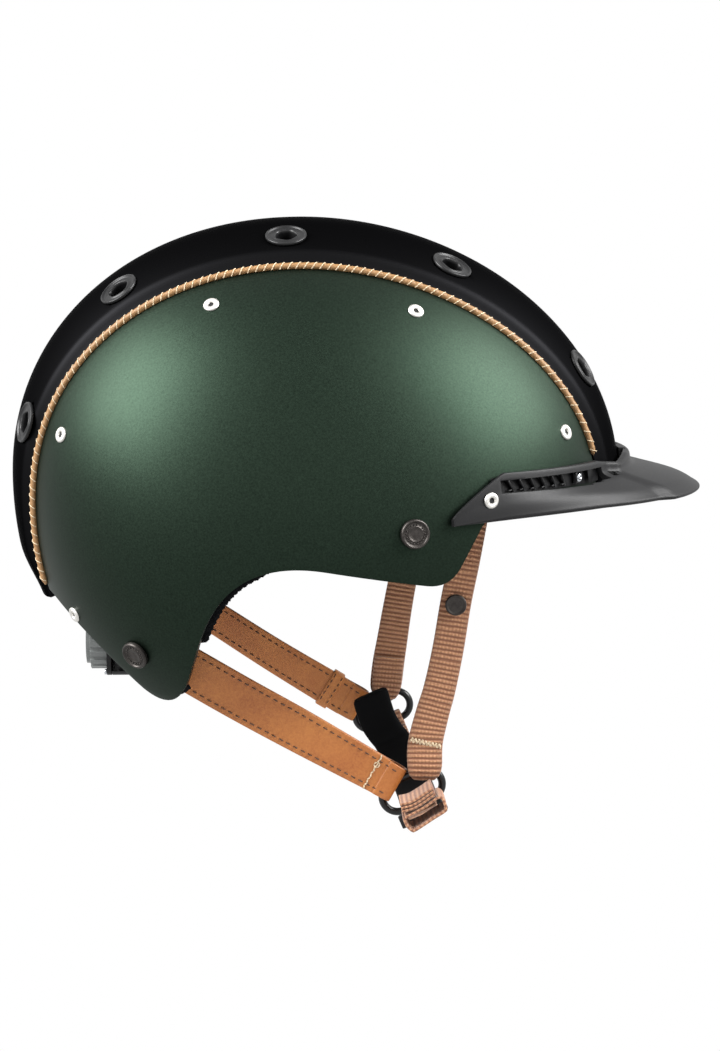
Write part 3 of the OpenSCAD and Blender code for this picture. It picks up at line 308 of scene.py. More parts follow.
def eased(share):
    share = min(1, max(0, share))
    return share * share * (3 - 2 * share)


def band_rise(angle, y):
    """Height of the crown band over the form beside the centre plane; it thins to its rear end."""
    edge = band_half(angle) - channel_half + under_piping
    rear = rear_share + (1 - rear_share) * eased((crown_to - angle) / rear_taper)
    flank = eased((edge - abs(y)) / (flank_width + under_piping))
    return edge_rise + (crown_raise - edge_rise) * rear * flank


def band_place(along, across):
    """Place on the band's outer face; its rows crowd towards both edges."""
    angle = crown_from + (crown_to - crown_from) * along
    aside = 2 * across - 1
    side_share = math.copysign(1 - (1 - abs(aside)) ** edge_crowding, aside)
    y = side_share * (band_half(angle) - channel_half + under_piping)
    return form_point(angle, y, 0) + form_normal(angle, y) * band_rise(angle, y)


def vent_seat(angle, y):
    """Place and direction of a vent's axis on the crown band."""
    return form_point(angle, y, crown_raise), form_normal(angle, y, crown_raise)


def placed(mesh, place, normal):
    """Moves a mesh made round Z to its place, its Z along the normal."""
    turn = normal.to_track_quat("Z", "Y").to_matrix().to_4x4()
    bmesh.ops.transform(mesh, verts=mesh.verts, matrix=Matrix.Translation(place) @ turn)
    return mesh


def joined(meshes):
    """One mesh from several."""
    whole = bmesh.new()
    for mesh in meshes:
        data = bpy.data.meshes.new("join")
        mesh.to_mesh(data)
        mesh.free()
        whole.from_mesh(data)
        bpy.data.meshes.remove(data)
    return whole


band = surface(150, 60, band_place)
vent_seats = [vent_seat(angle, y * flip) for angle, y in vents for flip in (1, -1)]
under_vents = [vert for vert in band.verts
               if any((vert.co - place).length < vent_clearing for place, normal in vent_seats)]
bmesh.ops.delete(band, geom=under_vents, context="VERTS")
crown = piece("crown_band", band, satin_black_paint, "helmet", ["crown_shell"],
              outward=(-8, 0, 0))
wall(crown, shell_wall, 0.6)


# Piping: a split-leather cord 3 mm thick in the channel between band and panel, sewn over
# with waxed cream thread every 3.9 mm, which pinches it. Both of its ends are tapered.
piping_radius, pinched_share, tips_per_length = 1.55, 0.86, 130
stitch_pitch, stitch_from, stitch_turn, stitch_lead = 3.9, -45, 140, 2.2
over_radius = 0.25

# Split leather: rough and matt, with a nap that breaks the tan into lighter and darker flecks.
nap_size = 0.8
piping_leather, tree, shader = new_material("tan split leather cord")
coords = add_node(tree, "ShaderNodeTexCoord").outputs["Object"]
nap = add_node(tree, "ShaderNodeTexNoise", {
    "Vector": coords, "Scale": 1000 / nap_size, "Detail": 4.0, "Roughness": 0.65}).outputs["Fac"]
tone = add_node(tree, "ShaderNodeMix", {
    "Factor": nap, "A": linear("#624526"), "B": linear("#957148")}, data_type="RGBA").outputs["Result"]
bumps = add_node(tree, "ShaderNodeBump", {"Height": nap, "Distance": 0.15e-3})
set_sockets(tree, shader, {"Base Color": tone, "Roughness": 0.5, "Specular IOR Level": 0.4,
                           "Normal": bumps.outputs["Normal"]})

# Waxed thread: pale cream and slightly furry; the darker lines between its twisted strands are painted shade
# in the grooves.
strand_pitch = 0.5
waxed_thread, tree, shader = new_material("waxed cream thread")
coords = add_node(tree, "ShaderNodeTexCoord").outputs["Object"]
twist = add_node(tree, "ShaderNodeTexWave", {
    "Vector": coords, "Scale": 1000 / strand_pitch / (2 * math.pi), "Distortion": 1.0},
    bands_direction="DIAGONAL").outputs["Fac"]
# Darker in the grooves between strands: painted shade.
tone = add_node(tree, "ShaderNodeMix", {
    "Factor": twist, "A": linear("#a08a6c"), "B": linear("#cbb898")}, data_type="RGBA").outputs["Result"]
bumps = add_node(tree, "ShaderNodeBump", {"Height": twist, "Distance": 0.08e-3})
set_sockets(tree, shader, {"Base Color": tone, "Roughness": 0.6, "Sheen Weight": 0.3,
                           "Normal": bumps.outputs["Normal"]})

piping_front, piping_rear, piping_rise = 6.5, 201, 0.6
seam_steps = 400
seam_angles = [piping_front + (piping_rear - piping_front) * i / seam_steps for i in range(seam_steps + 1)]
seam_line = [form_point(angle, -band_half(angle), piping_rise) for angle in seam_angles]
seam_length = sum((b - a).length for a, b in zip(seam_line, seam_line[1:]))


def piping_frame(share):
    """Middle of the piping at a share of its length, with its ways ahead, out and across."""
    spot = share * seam_steps
    i = min(seam_steps - 1, int(spot))
    middle = seam_line[i].lerp(seam_line[i + 1], spot - i)
    angle = piping_front + (piping_rear - piping_front) * share
    ahead = (seam_line[min(seam_steps, i + 2)] - seam_line[max(0, i - 1)]).normalized()
    out = form_normal(angle, -band_half(angle), piping_rise)
    return middle, ahead, out, out.cross(ahead)


def piping_place(share, turn):
    middle, ahead, out, across = piping_frame(share)
    pinch = abs(math.sin(math.pi * share * seam_length / stitch_pitch)) ** 0.5
    ends = min(1, tips_per_length * share, tips_per_length * (1 - share)) ** 0.5
    radius = piping_radius * (pinched_share + (1 - pinched_share) * pinch) * ends
    turn *= 2 * math.pi
    return middle + (out * math.cos(turn) + across * math.sin(turn)) * radius


def sewn_over(share):
    """One slanted stitch over the piping, as a thin bent tube."""
    middle, ahead, out, across = piping_frame(share)

    def place(along, turn):
        lean = math.radians(stitch_from + stitch_turn * along)
        radial = out * math.cos(lean) + across * math.sin(lean)
        spot = middle + radial * (piping_radius + 0.05) + ahead * (stitch_lead * (along - 0.5))
        turn *= 2 * math.pi
        return spot + (radial * math.cos(turn) + ahead * math.sin(turn)) * over_radius
    return surface(8, 5, place, closed=True)


for side in ("right", "left"):
    tube = surface(900, 14, piping_place, closed=True)
    thread = joined([sewn_over((i + 0.5) * stitch_pitch / seam_length)
                     for i in range(int(seam_length / stitch_pitch))])
    if side == "left":
        for mesh in (tube, thread):
            bmesh.ops.scale(mesh, vec=Vector((1, -1, 1)), verts=mesh.verts)
    piece("piping_cord_" + side, tube, piping_leather, "helmet", ["piping_" + side])
    piece("piping_thread_" + side, thread, waxed_thread, "helmet")


# Air vents: moulded black nylon grommets pressed into the band. Each has a thin raised lip
# round a flat flange, and a slightly five-lobed hole whose bore goes down to the foam.
grommet_profile = ((4.4, -6), (4.5, -0.6), (4.6, 0.5), (4.9, 0.95), (5.3, 1.1), (5.7, 0.9), (6.2, 0.62),
                   (7.6, 0.6), (8.0, 0.75), (8.25, 1.2), (8.6, 1.35), (8.95, 1.15), (9.05, 0.6), (9.0, 0.1))
grommet_lobes, lobe_depth, lobe_reach = 5, 0.045, 5.4

# Moulded nylon: black and half glossy, so that the lip and the hole's rim catch thin lights.
grain_size = 0.7
grommet_nylon, tree, shader = new_material("moulded black nylon")
coords = add_node(tree, "ShaderNodeTexCoord").outputs["Object"]
grain = add_node(tree, "ShaderNodeTexNoise", {"Vector": coords, "Scale": 1000 / grain_size}).outputs["Fac"]
bumps = add_node(tree, "ShaderNodeBump", {"Height": grain, "Distance": 0.015e-3, "Strength": 0.5})
set_sockets(tree, shader, {"Base Color": linear("#0c0c0d"), "Roughness": 0.4, "IOR": 1.35,
                           "Normal": bumps.outputs["Normal"]})


def turned(profile, steps=48):
    """Shape turned round Z from a profile of radii and heights."""
    mesh = bmesh.new()
    verts = [mesh.verts.new((radius, 0, height)) for radius, height in profile]
    edges = [mesh.edges.new(pair) for pair in zip(verts, verts[1:])]
    bmesh.ops.spin(mesh, geom=verts + edges, cent=(0, 0, 0), axis=(0, 0, 1), angle=2 * math.pi,
                   steps=steps, use_merge=True)
    bmesh.ops.remove_doubles(mesh, verts=mesh.verts, dist=1e-4)
    return mesh


def grommet():
    """One vent ring, whose hole swells into lobes."""
    mesh = turned(grommet_profile, 60)
    for vert in mesh.verts:
        if math.hypot(vert.co.x, vert.co.y) < lobe_reach:
            share = 1 + lobe_depth * math.cos(grommet_lobes * math.atan2(vert.co.y, vert.co.x))
            vert.co.x *= share
            vert.co.y *= share
    return mesh


piece("vent_rings", joined([placed(grommet(), *seat) for seat in vent_seats]), grommet_nylon, "helmet",
      ["vent_grommets"])


# Eyelet rivets: nickel-plated brass, with a rolled rim and an open bore, set through the panels and the
# liner's edge.
# Two more hold the visor's rear tips. A black disc inside each bore is painted shade.
rivet_angles, rivet_offset = (14, 60, 115, 165), 12
nape_rivet, visor_rivet_turn, visor_rivet_z = (-109, -30.5), 50, 25
eyelet_profile = ((1.15, -1.2), (1.2, 0.1), (1.3, 0.6), (1.6, 0.92), (2.3, 1.05), (2.8, 1.0), (3.2, 0.8),
                  (3.45, 0.45), (3.5, 0.05))
bore_profile = ((0.02, 0.15), (1.24, 0.15))

# Nickel plate: pale, warm silver that mirrors the room softly, dulled here and there by
# handling. The scuffs are drawn 0.6 mm wide to show at all.
scuff_size = 0.6
plated_brass, tree, shader = new_material("nickel-plated brass")
coords = add_node(tree, "ShaderNodeTexCoord").outputs["Object"]
scuffs = add_node(tree, "ShaderNodeTexNoise", {
    "Vector": coords, "Scale": 1000 / scuff_size, "Detail": 3.0}).outputs["Fac"]
gloss = add_node(tree, "ShaderNodeMapRange", {
    "Value": scuffs, "To Min": 0.34, "To Max": 0.5}).outputs["Result"]
bumps = add_node(tree, "ShaderNodeBump", {"Height": scuffs, "Distance": 0.01e-3, "Strength": 0.4})
set_sockets(tree, shader, {"Base Color": linear("#d2d0cb"), "Metallic": 1.0, "Roughness": gloss,
                           "Normal": bumps.outputs["Normal"]})

# Painted shade in the bores: a black disc just inside each eyelet, so that the bore reads as a black dot.
painted_bore_shade, tree, shader = new_material("painted shade in the bore")
set_sockets(tree, shader, {"Base Color": linear("#0a0a0a"), "Roughness": 0.9})


def level_reach(turn, z, gap=0):
    way = (math.cos(math.radians(turn)), math.sin(math.radians(turn)), 0)
    return way_out((form_centre[0], 0, z), way, gap)


both_sides = [Vector((1, 1, 1)), Vector((1, -1, 1))]
root_gap, root_ease = 0.6, 4
rivet_seats = []
for angle in rivet_angles:
    aside = -band_half(angle) - rivet_offset
    rivet_seats.append((form_point(angle, aside, 0), form_normal(angle, aside)))
rivet_seats.append((side_point(*nape_rivet, 0), side_normal(*nape_rivet)))


def visor_gap(turn):
    """Gap between the visor's root and the form, wider over the raised crown band."""
    half = band_half(0) - channel_half
    past_band = front_reach * math.sin(math.radians(abs(turn))) - half
    share = min(1, max(0, (root_ease - past_band) / flank_width))
    return root_gap + crown_raise * eased(share)


visor_top, visor_low, brim_reach, visor_sweep, visor_rim = 36, 15, 34, 58.5, 3.4
tip_sweep, low_sweep, low_rise = 12, 30, 3.2
dip_turn, dip_half, dip_depth = 14.5, 6.5, 2.3


def visor_profile(turn):
    """Corner points of the visor's outer face at an angle, as gaps over the form and heights:
    the rim, the root, the brim's upper face and its rounded lip. The rim dips beside the boss."""
    left = visor_sweep - abs(turn)
    full = 0.16 + 0.84 * min(1, max(0, left / tip_sweep)) ** 0.85
    out = brim_reach * math.cos(math.radians(90 * turn / visor_sweep)) ** 2.7
    root = visor_gap(turn) + visor_rim
    low = visor_low + low_rise * min(1, max(0, left / low_sweep))
    rise = (visor_top - low) * full
    top = low + rise - dip_depth * max(0, 1 - abs(abs(turn) - dip_turn) / dip_half)
    return [Vector(p) for p in (
        (root - 0.9, top), (root - 0.15, top - 0.1 * full), (root + 0.05 * out + 0.05, top - 0.9 * full),
        (root + 0.1 * out, low + 0.66 * rise), (root + 0.42 * out, low + 0.5 * rise),
        (root + 0.76 * out, low + 0.33 * rise), (root + 0.94 * out, low + 2.6 * full),
        (root + 0.99 * out, low + 1.5 * full), (root + out - 0.2, low + 0.6 * full),
        (root - 0.9 + out, low))]


def through(points, share):
    """Smooth line through points, at a share of their count."""
    spot = share * (len(points) - 1)
    i = min(len(points) - 2, int(spot))
    t = spot - i
    before, start = points[max(0, i - 1)], points[i]
    end, after = points[i + 1], points[min(len(points) - 1, i + 2)]
    return (start * 2 + (end - before) * t + (before * 2 - start * 5 + end * 4 - after) * t * t
            + (start * 3 - before - end * 3 + after) * t ** 3) / 2


def visor_point(turn, gap, z):
    reach = level_reach(turn, z) + gap
    return Vector((form_centre[0] + reach * math.cos(math.radians(turn)),
                   reach * math.sin(math.radians(turn)), z))


def visor_rivet_seat():
    turn = -visor_rivet_turn
    place = visor_point(turn, visor_gap(turn) + visor_rim + 0.1, visor_rivet_z)
    ahead = visor_point(turn + 1, visor_gap(turn) + visor_rim, visor_rivet_z) - place
    return place, ahead.cross(Vector((0, 0, 1))).normalized()


rivet_seats.append(visor_rivet_seat())
rims, bores = [], []
for place, normal in rivet_seats:
    for flip in both_sides:
        rims.append(placed(turned(eyelet_profile, 36), place * flip, normal * flip))
        bores.append(placed(turned(bore_profile, 20), place * flip, normal * flip))
piece("eyelet_rivets", joined(rims), plated_brass, "helmet", ["shell_rivets"])
# Black discs in the eyelets' bores: painted shade.
piece("eyelet_bore_shade_discs", joined(bores), painted_bore_shade, "helmet")


# Visor: one moulding of matt black nylon that wraps the brow. Its upper rim stands round a
# grille slot on each side and dips beside the centre boss, where a slanted strut leaves a
# three-cornered opening.
slot_from, slot_to, slot_low, slot_high = 20, 47.5, 27.5, 33
gap_from, gap_to, gap_low = 7.5, 18, 26.6
strut_turn, strut_drop, slot_depth = 12, 2.4, 6
visor_wall = 2.4
visor_columns, visor_rows = 180, 56

# Matt nylon: spark-eroded moulding, whose fine grain turns the brim's highlights into a wide
# grey sheen. The grain is drawn 0.7 mm wide, coarser than the real one.
spark_size = 0.7
matt_nylon, tree, shader = new_material("matt moulded nylon")
coords = add_node(tree, "ShaderNodeTexCoord").outputs["Object"]
spark_grain = add_node(tree, "ShaderNodeTexNoise", {
    "Vector": coords, "Scale": 1000 / spark_size}).outputs["Fac"]
gloss = add_node(tree, "ShaderNodeMapRange", {
    "Value": spark_grain, "To Min": 0.44, "To Max": 0.58}).outputs["Result"]
bumps = add_node(tree, "ShaderNodeBump", {"Height": spark_grain, "Distance": 0.03e-3, "Strength": 0.6})
set_sockets(tree, shader, {"Base Color": linear("#0e0e0f"), "Roughness": gloss, "IOR": 1.3,
                           "Normal": bumps.outputs["Normal"]})


def visor_place(across, down):
    turn = visor_sweep * (2 * across - 1)
    spot = through(visor_profile(turn), down)
    return visor_point(turn, spot.x, spot.y)


visor_sheet = surface(visor_columns, visor_rows, visor_place)


def strut_level(turn):
    """Height of the strut's rear edge at an angle beside the centre plane."""
    return gap_low + (slot_high - strut_drop - gap_low) * (turn - gap_from) / (gap_to - gap_from)


def in_slot(centre):
    turn = abs(math.degrees(math.atan2(centre.y, centre.x - form_centre[0])))
    slot = slot_low < centre.z < slot_high and slot_from < turn < slot_to
    if not slot and not (gap_from < turn < gap_to and gap_low < centre.z < strut_level(turn)):
        return False
    gap = math.hypot(centre.x - form_centre[0], centre.y) - level_reach(turn, centre.z)
    return gap < visor_rim + slot_depth


def cut_sheet(sheet, place, way):
    bmesh.ops.bisect_plane(sheet, geom=sheet.verts[:] + sheet.edges[:] + sheet.faces[:], plane_co=place,
                           plane_no=way, dist=1e-4)


for edge_z in (slot_low, slot_high, gap_low):
    cut_sheet(visor_sheet, (0, 0, edge_z), (0, 0, 1))
for flip in (1, -1):
    for edge_turn in (slot_from, slot_to, gap_to):
        turn = math.radians(edge_turn * flip)
        cut_sheet(visor_sheet, (form_centre[0], 0, 0), (-math.sin(turn), math.cos(turn), 0))
    lower = visor_point(gap_from * flip, visor_rim, gap_low)
    upper = visor_point(gap_to * flip, visor_rim, strut_level(gap_to))
    turn = math.radians(strut_turn * flip)
    level = Vector((math.cos(turn), math.sin(turn), 0))
    cut_sheet(visor_sheet, lower, (upper - lower).cross(level).normalized())
bmesh.ops.delete(visor_sheet, geom=[f for f in visor_sheet.faces if in_slot(f.calc_center_median())],
                 context="FACES")
visor = piece("visor_moulding", visor_sheet, matt_nylon, "helmet", ["visor"],
              outward=(-8, 0, 60))
wall(visor, visor_wall, 0.5)


# Visor grilles: glossy black inserts behind the two slots. Each has six slanted louvres, a
# square boss for its screw, and a solid plate towards the front.
grille_face, grille_back = visor_rim - 0.6, 1.2
grille_depth = grille_face - grille_back
slot_middle = (slot_low + slot_high) / 2
plate_turn, screw_turn, louvre_count = 28.4, 24.5, 6
boss_turn = screw_turn + 2.2
louvre_half, louvre_height, louvre_lean = 0.5, 3.2, 34
ledge_half, ledge_height, ledge_lean = 1.9, 0.3, 6
boss_half, boss_height = 2.7, 2.5
screw_profile = ((0.02, 0.55), (0.75, 0.5), (0.8, 1.15), (1.5, 1.1), (1.95, 0.7), (2.05, 0.1))

# Polished nylon: deep black, with one soft light along each louvre's edge.
ripple_size = 1.4
glossy_insert, tree, shader = new_material("polished moulded nylon")
coords = add_node(tree, "ShaderNodeTexCoord").outputs["Object"]
ripples = add_node(tree, "ShaderNodeTexNoise", {"Vector": coords, "Scale": 1000 / ripple_size}).outputs["Fac"]
bumps = add_node(tree, "ShaderNodeBump", {"Height": ripples, "Distance": 0.01e-3, "Strength": 0.4})
set_sockets(tree, shader, {"Base Color": linear("#0a0a0b"), "Roughness": 0.35, "IOR": 1.3,
                           "Normal": bumps.outputs["Normal"]})

# Zinc plate: a bright, cool point of light in the grille's dark.
wear_size = 0.5
zinc_steel, tree, shader = new_material("zinc-plated steel")
coords = add_node(tree, "ShaderNodeTexCoord").outputs["Object"]
wear = add_node(tree, "ShaderNodeTexNoise", {
    "Vector": coords, "Scale": 1000 / wear_size, "Detail": 3.0}).outputs["Fac"]
bumps = add_node(tree, "ShaderNodeBump", {"Height": wear, "Distance": 0.008e-3, "Strength": 0.4})
set_sockets(tree, shader, {"Base Color": linear("#b9bcc0"), "Metallic": 1.0, "Roughness": 0.24,
                           "Normal": bumps.outputs["Normal"]})


def box_between(low, high):
    """Closed block between two corners."""
    mesh = bmesh.new()
    bmesh.ops.create_cube(mesh, size=1)
    low, high = Vector(low), Vector(high)
    bmesh.ops.scale(mesh, vec=high - low, verts=mesh.verts)
    bmesh.ops.translate(mesh, vec=(low + high) / 2, verts=mesh.verts)
    return mesh


def bent_plate(from_turn, to_turn, low, high, depth):
    """Plate that follows the visor's root between two angles and two heights."""
    def place(across, up):
        return visor_point(-from_turn - (to_turn - from_turn) * across, depth, low + (high - low) * up)
    return surface(24, 4, place)


def at_turn(mesh, turn, gap, z, lean=0):
    """Moves a mesh, made with X outwards, to a place on the visor's root."""
    place = visor_point(turn, gap, z)
    turning = Matrix.Rotation(math.radians(turn), 4, "Z") @ Matrix.Rotation(math.radians(lean), 4, "X")
    bmesh.ops.transform(mesh, verts=mesh.verts, matrix=Matrix.Translation(place) @ turning)
    return mesh


for side, flip in (("right", 1), ("left", -1)):
    parts = [bent_plate(slot_from - 1, slot_to + 1, slot_low - 0.8, slot_high + 0.8, grille_back)]
    for i in range(louvre_count):
        turn = -plate_turn - 1.5 - (slot_to - plate_turn - 3) * (i + 0.5) / louvre_count
        louvre = box_between((0, -louvre_half, -louvre_height),
                             (grille_depth + 0.2, louvre_half, louvre_height))
        parts.append(at_turn(louvre, turn, grille_back, slot_middle, louvre_lean))
        ledge = box_between((0, -ledge_half, -ledge_height), (grille_depth - 0.3, ledge_half, ledge_height))
        parts.append(at_turn(ledge, turn + 0.2, grille_back, slot_low + 0.9, ledge_lean))
    boss = box_between((0, -boss_half, -boss_height), (grille_depth + 0.1, boss_half, boss_height))
    parts.append(at_turn(boss, -boss_turn, grille_back, slot_middle))
    parts.append(bent_plate(slot_from - 0.5, screw_turn - 1.2, slot_low - 0.5, slot_high + 0.5, grille_face))
    whole = joined(parts)
    if flip < 0:
        bmesh.ops.scale(whole, vec=Vector((1, -1, 1)), verts=whole.verts)
    grille = piece("visor_louvres_" + side, whole, glossy_insert, "helmet",
                   ["visor_grille_" + side])
    round_edges(grille, 0.15, 1)

screws = []
for flip in both_sides:
    base = visor_point(-boss_turn, grille_face + 0.1, slot_middle)
    out = Vector((math.cos(math.radians(-boss_turn)), math.sin(math.radians(-boss_turn)), 0))
    screws.append(placed(turned(screw_profile, 32), base * flip, out * flip))
piece("visor_screw_heads", joined(screws), zinc_steel, "helmet", ["visor_screws"])


# Brow clip: a moulded nylon clip between the crown band's front end and the visor's boss. Its
# solid has its exact shape, so it is carried over, and its edges get a moulding's small round.
def merged_solid(node, weld):
    """Copy of a solid's mesh in millimetres, with its loose triangles merged."""
    mesh = bmesh.new()
    mesh.from_mesh(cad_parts[node].data)
    bmesh.ops.scale(mesh, vec=Vector((1000, 1000, 1000)), verts=mesh.verts)
    bmesh.ops.remove_doubles(mesh, verts=mesh.verts, dist=weld)
    return mesh


def carried_over(name, node, material, body, edge, segments=2):
    """Piece in its solid's shape, with rounded edges, smooth rounds and flat faces."""
    mesh = merged_solid(node, 2e-3)
    bmesh.ops.dissolve_limit(mesh, angle_limit=math.radians(1), verts=mesh.verts, edges=mesh.edges)
    thing = piece(name, mesh, material, body, [node])
    round_edges(thing, edge, segments, 30)
    weighted = thing.modifiers.new("flat faces", "WEIGHTED_NORMAL")
    weighted.keep_sharp = True
    weighted.weight = 80


carried_over("brow_clip", "front_clip", matt_nylon, "helmet", 0.5)


# Press studs: die-cast caps in dark pewter, with a raised rim round a shallow domed face that
# bears a ring of small beads. The front ones stand on thick pins that cross the shell.
front_stud, rear_stud = (37, 12.5), (-81, -43.5)
cap_profile = ((0.01, 1.72), (1.6, 1.7), (2.9, 1.6), (3.05, 1.78), (3.3, 1.78), (3.45, 1.55), (4.7, 1.42),
               (4.95, 1.5), (5.2, 1.95), (5.5, 2.2), (5.85, 2.15), (6.2, 1.75), (6.4, 1.0), (6.3, 0.1))
pin_profile = ((0.01, 0), (2.9, 0), (3, 0.2), (3, 26), (2.8, 26.4), (0.01, 26.4))
bead_count, bead_radius, bead_circle, bead_height = 18, 0.34, 4.05, 1.5

# Blackened zinc: smoky dark metal, worn lighter in cloudy patches, with a soft grey light on
# its rim.
patina_size = 1.6
dark_pewter, tree, shader = new_material("blackened die-cast zinc")
coords = add_node(tree, "ShaderNodeTexCoord").outputs["Object"]
patina = add_node(tree, "ShaderNodeTexNoise", {
    "Vector": coords, "Scale": 1000 / patina_size, "Detail": 4.0, "Roughness": 0.6}).outputs["Fac"]
tone = add_node(tree, "ShaderNodeMix", {
    "Factor": patina, "A": linear("#1d1b1a"), "B": linear("#4a4643")}, data_type="RGBA").outputs["Result"]
gloss = add_node(tree, "ShaderNodeMapRange", {
    "Value": patina, "To Min": 0.3, "To Max": 0.5}).outputs["Result"]
bumps = add_node(tree, "ShaderNodeBump", {"Height": patina, "Distance": 0.03e-3, "Strength": 0.6})
set_sockets(tree, shader, {"Base Color": tone, "Metallic": 0.85, "Roughness": gloss,
                           "Normal": bumps.outputs["Normal"]})


def stud_cap(place, normal):
    """One cap with its ring of beads."""
    parts = [turned(cap_profile, 56)]
    for i in range(bead_count):
        bead = bmesh.new()
        bmesh.ops.create_icosphere(bead, subdivisions=2, radius=bead_radius)
        turn = 2 * math.pi * i / bead_count
        spot = Vector((bead_circle * math.cos(turn), bead_circle * math.sin(turn), bead_height))
        bmesh.ops.translate(bead, vec=spot, verts=bead.verts)
        parts.append(bead)
    return placed(joined(parts), place, normal)


for end, spot, lift in (("front", front_stud, 0.6), ("rear", rear_stud, 0.3)):
    seat, normal = side_point(*spot, 0), side_normal(*spot)
    studs = [stud_cap(seat * flip + normal * flip * lift, normal * flip) for flip in both_sides]
    if end == "front":
        for flip in both_sides:
            studs.append(placed(turned(pin_profile, 32), seat * flip, Vector((0, 1, 0)) * flip))
    piece(end + "_press_studs", joined(studs), dark_pewter, "helmet", [end + "_studs"])


# Strap rings: oval rings of glossy black acetal with round bars, one below each cheek. The
# straps are folded round them, and the chin strap hangs from their lower bars.
ring_at, ring_slope = Vector((38.7, 0, -108.5)), math.radians(23.5)
ring_length, ring_height, ring_bar = 31, 17, 3.4
strap_y, left_shift, hinge_up = 62, (-4, 10), 98.2
tilt = Matrix.Translation(ring_at) @ Matrix.Rotation(-ring_slope, 4, "Y")


def harness(ahead, y, up, side="right"):
    """Place in the model of a place in the harness frame, which is tilted with the rings; the
    left side is mirrored and shifted."""
    if side == "left":
        ahead, y, up = ahead + left_shift[0], -y, up + left_shift[1]
    return tilt @ Vector((ahead, y, up))


# Polished acetal: black and wet-looking, with a narrow light along each bar.
wave_size = 2.0
ring_nylon, tree, shader = new_material("glossy moulded acetal")
coords = add_node(tree, "ShaderNodeTexCoord").outputs["Object"]
waves = add_node(tree, "ShaderNodeTexNoise", {"Vector": coords, "Scale": 1000 / wave_size}).outputs["Fac"]
bumps = add_node(tree, "ShaderNodeBump", {"Height": waves, "Distance": 0.015e-3, "Strength": 0.4})
set_sockets(tree, shader, {"Base Color": linear("#0a0a0b"), "Roughness": 0.26, "IOR": 1.4,
                           "Normal": bumps.outputs["Normal"]})

for side in ("right", "left"):
    half, flat = ring_height / 2 - ring_bar / 2, (ring_length - ring_height) / 2

    def ring_place(along, turn, side=side):
        lap = along * (4 * flat + 2 * math.pi * half)
        stretch = (2 * flat, math.pi * half, 2 * flat, math.pi * half)
        k = 0
        while k < 3 and lap > stretch[k]:
            lap -= stretch[k]
            k += 1
        if k == 0:
            middle, out = (flat - lap, half), (0, 1)
        elif k == 2:
            middle, out = (-flat + lap, -half), (0, -1)
        else:
            angle = lap / half + (math.pi / 2 if k == 1 else -math.pi / 2)
            out = (math.cos(angle), math.sin(angle))
            centre = -flat if k == 1 else flat
            middle = (centre + half * out[0], half * out[1])
        turn *= 2 * math.pi
        reach = ring_bar / 2 * math.cos(turn)
        return harness(middle[0] + out[0] * reach, -strap_y + ring_bar / 2 * math.sin(turn),
                       middle[1] + out[1] * reach, side)
    piece("strap_ring_" + side, surface(140, 14, ring_place, closed=True), ring_nylon,
          side + "_straps", ["ring_" + side])


# Leather straps: saddle leather 2.8 mm thick in two layers, sewn 2.6 mm inside both edges
# with dark thread. The strap is one length, folded round the ring and tacked in cream.
layer = 1.4
seam_inset, seam_pitch, stitch_share = 2.6, 3.6, 0.6

# Saddle leather: warm tan that is cloudy over a few centimetres and speckled by its pores,
# with a low, uneven shine. The pores are drawn 0.9 mm wide, coarser than the real ones.
pore_size, cloud_size = 0.9, 22
saddle_leather, tree, shader = new_material("tan saddle leather")
coords = add_node(tree, "ShaderNodeTexCoord").outputs["Object"]
pores = add_node(tree, "ShaderNodeTexNoise", {
    "Vector": coords, "Scale": 1000 / pore_size, "Detail": 5.0, "Roughness": 0.6}).outputs["Fac"]
clouds = add_node(tree, "ShaderNodeTexNoise", {"Vector": coords, "Scale": 1000 / cloud_size}).outputs["Fac"]
both_tones = add_node(tree, "ShaderNodeMath", {0: pores, 1: clouds}, operation="ADD").outputs[0]
depth_of_tone = add_node(tree, "ShaderNodeMapRange", {
    "Value": both_tones, "From Min": 0.6, "From Max": 1.4}).outputs["Result"]
tone = add_node(tree, "ShaderNodeMix", {
    "Factor": depth_of_tone, "A": linear("#86481c"), "B": linear("#ab6c32")},
    data_type="RGBA").outputs["Result"]
gloss = add_node(tree, "ShaderNodeMapRange", {
    "Value": pores, "To Min": 0.36, "To Max": 0.56}).outputs["Result"]
bumps = add_node(tree, "ShaderNodeBump", {"Height": pores, "Distance": 0.09e-3, "Strength": 0.8})
set_sockets(tree, shader, {"Base Color": tone, "Roughness": gloss, "Specular IOR Level": 0.45,
                           "Normal": bumps.outputs["Normal"]})

# Brown thread: dark and matt, so that each stitch reads as a dash on the tan.
fibre_size = 0.4
dark_thread, tree, shader = new_material("waxed brown thread")
coords = add_node(tree, "ShaderNodeTexCoord").outputs["Object"]
fibres = add_node(tree, "ShaderNodeTexNoise", {"Vector": coords, "Scale": 1000 / fibre_size}).outputs["Fac"]
bumps = add_node(tree, "ShaderNodeBump", {"Height": fibres, "Distance": 0.05e-3})
set_sockets(tree, shader, {"Base Color": linear("#3e2413"), "Roughness": 0.6,
                           "Normal": bumps.outputs["Normal"]})


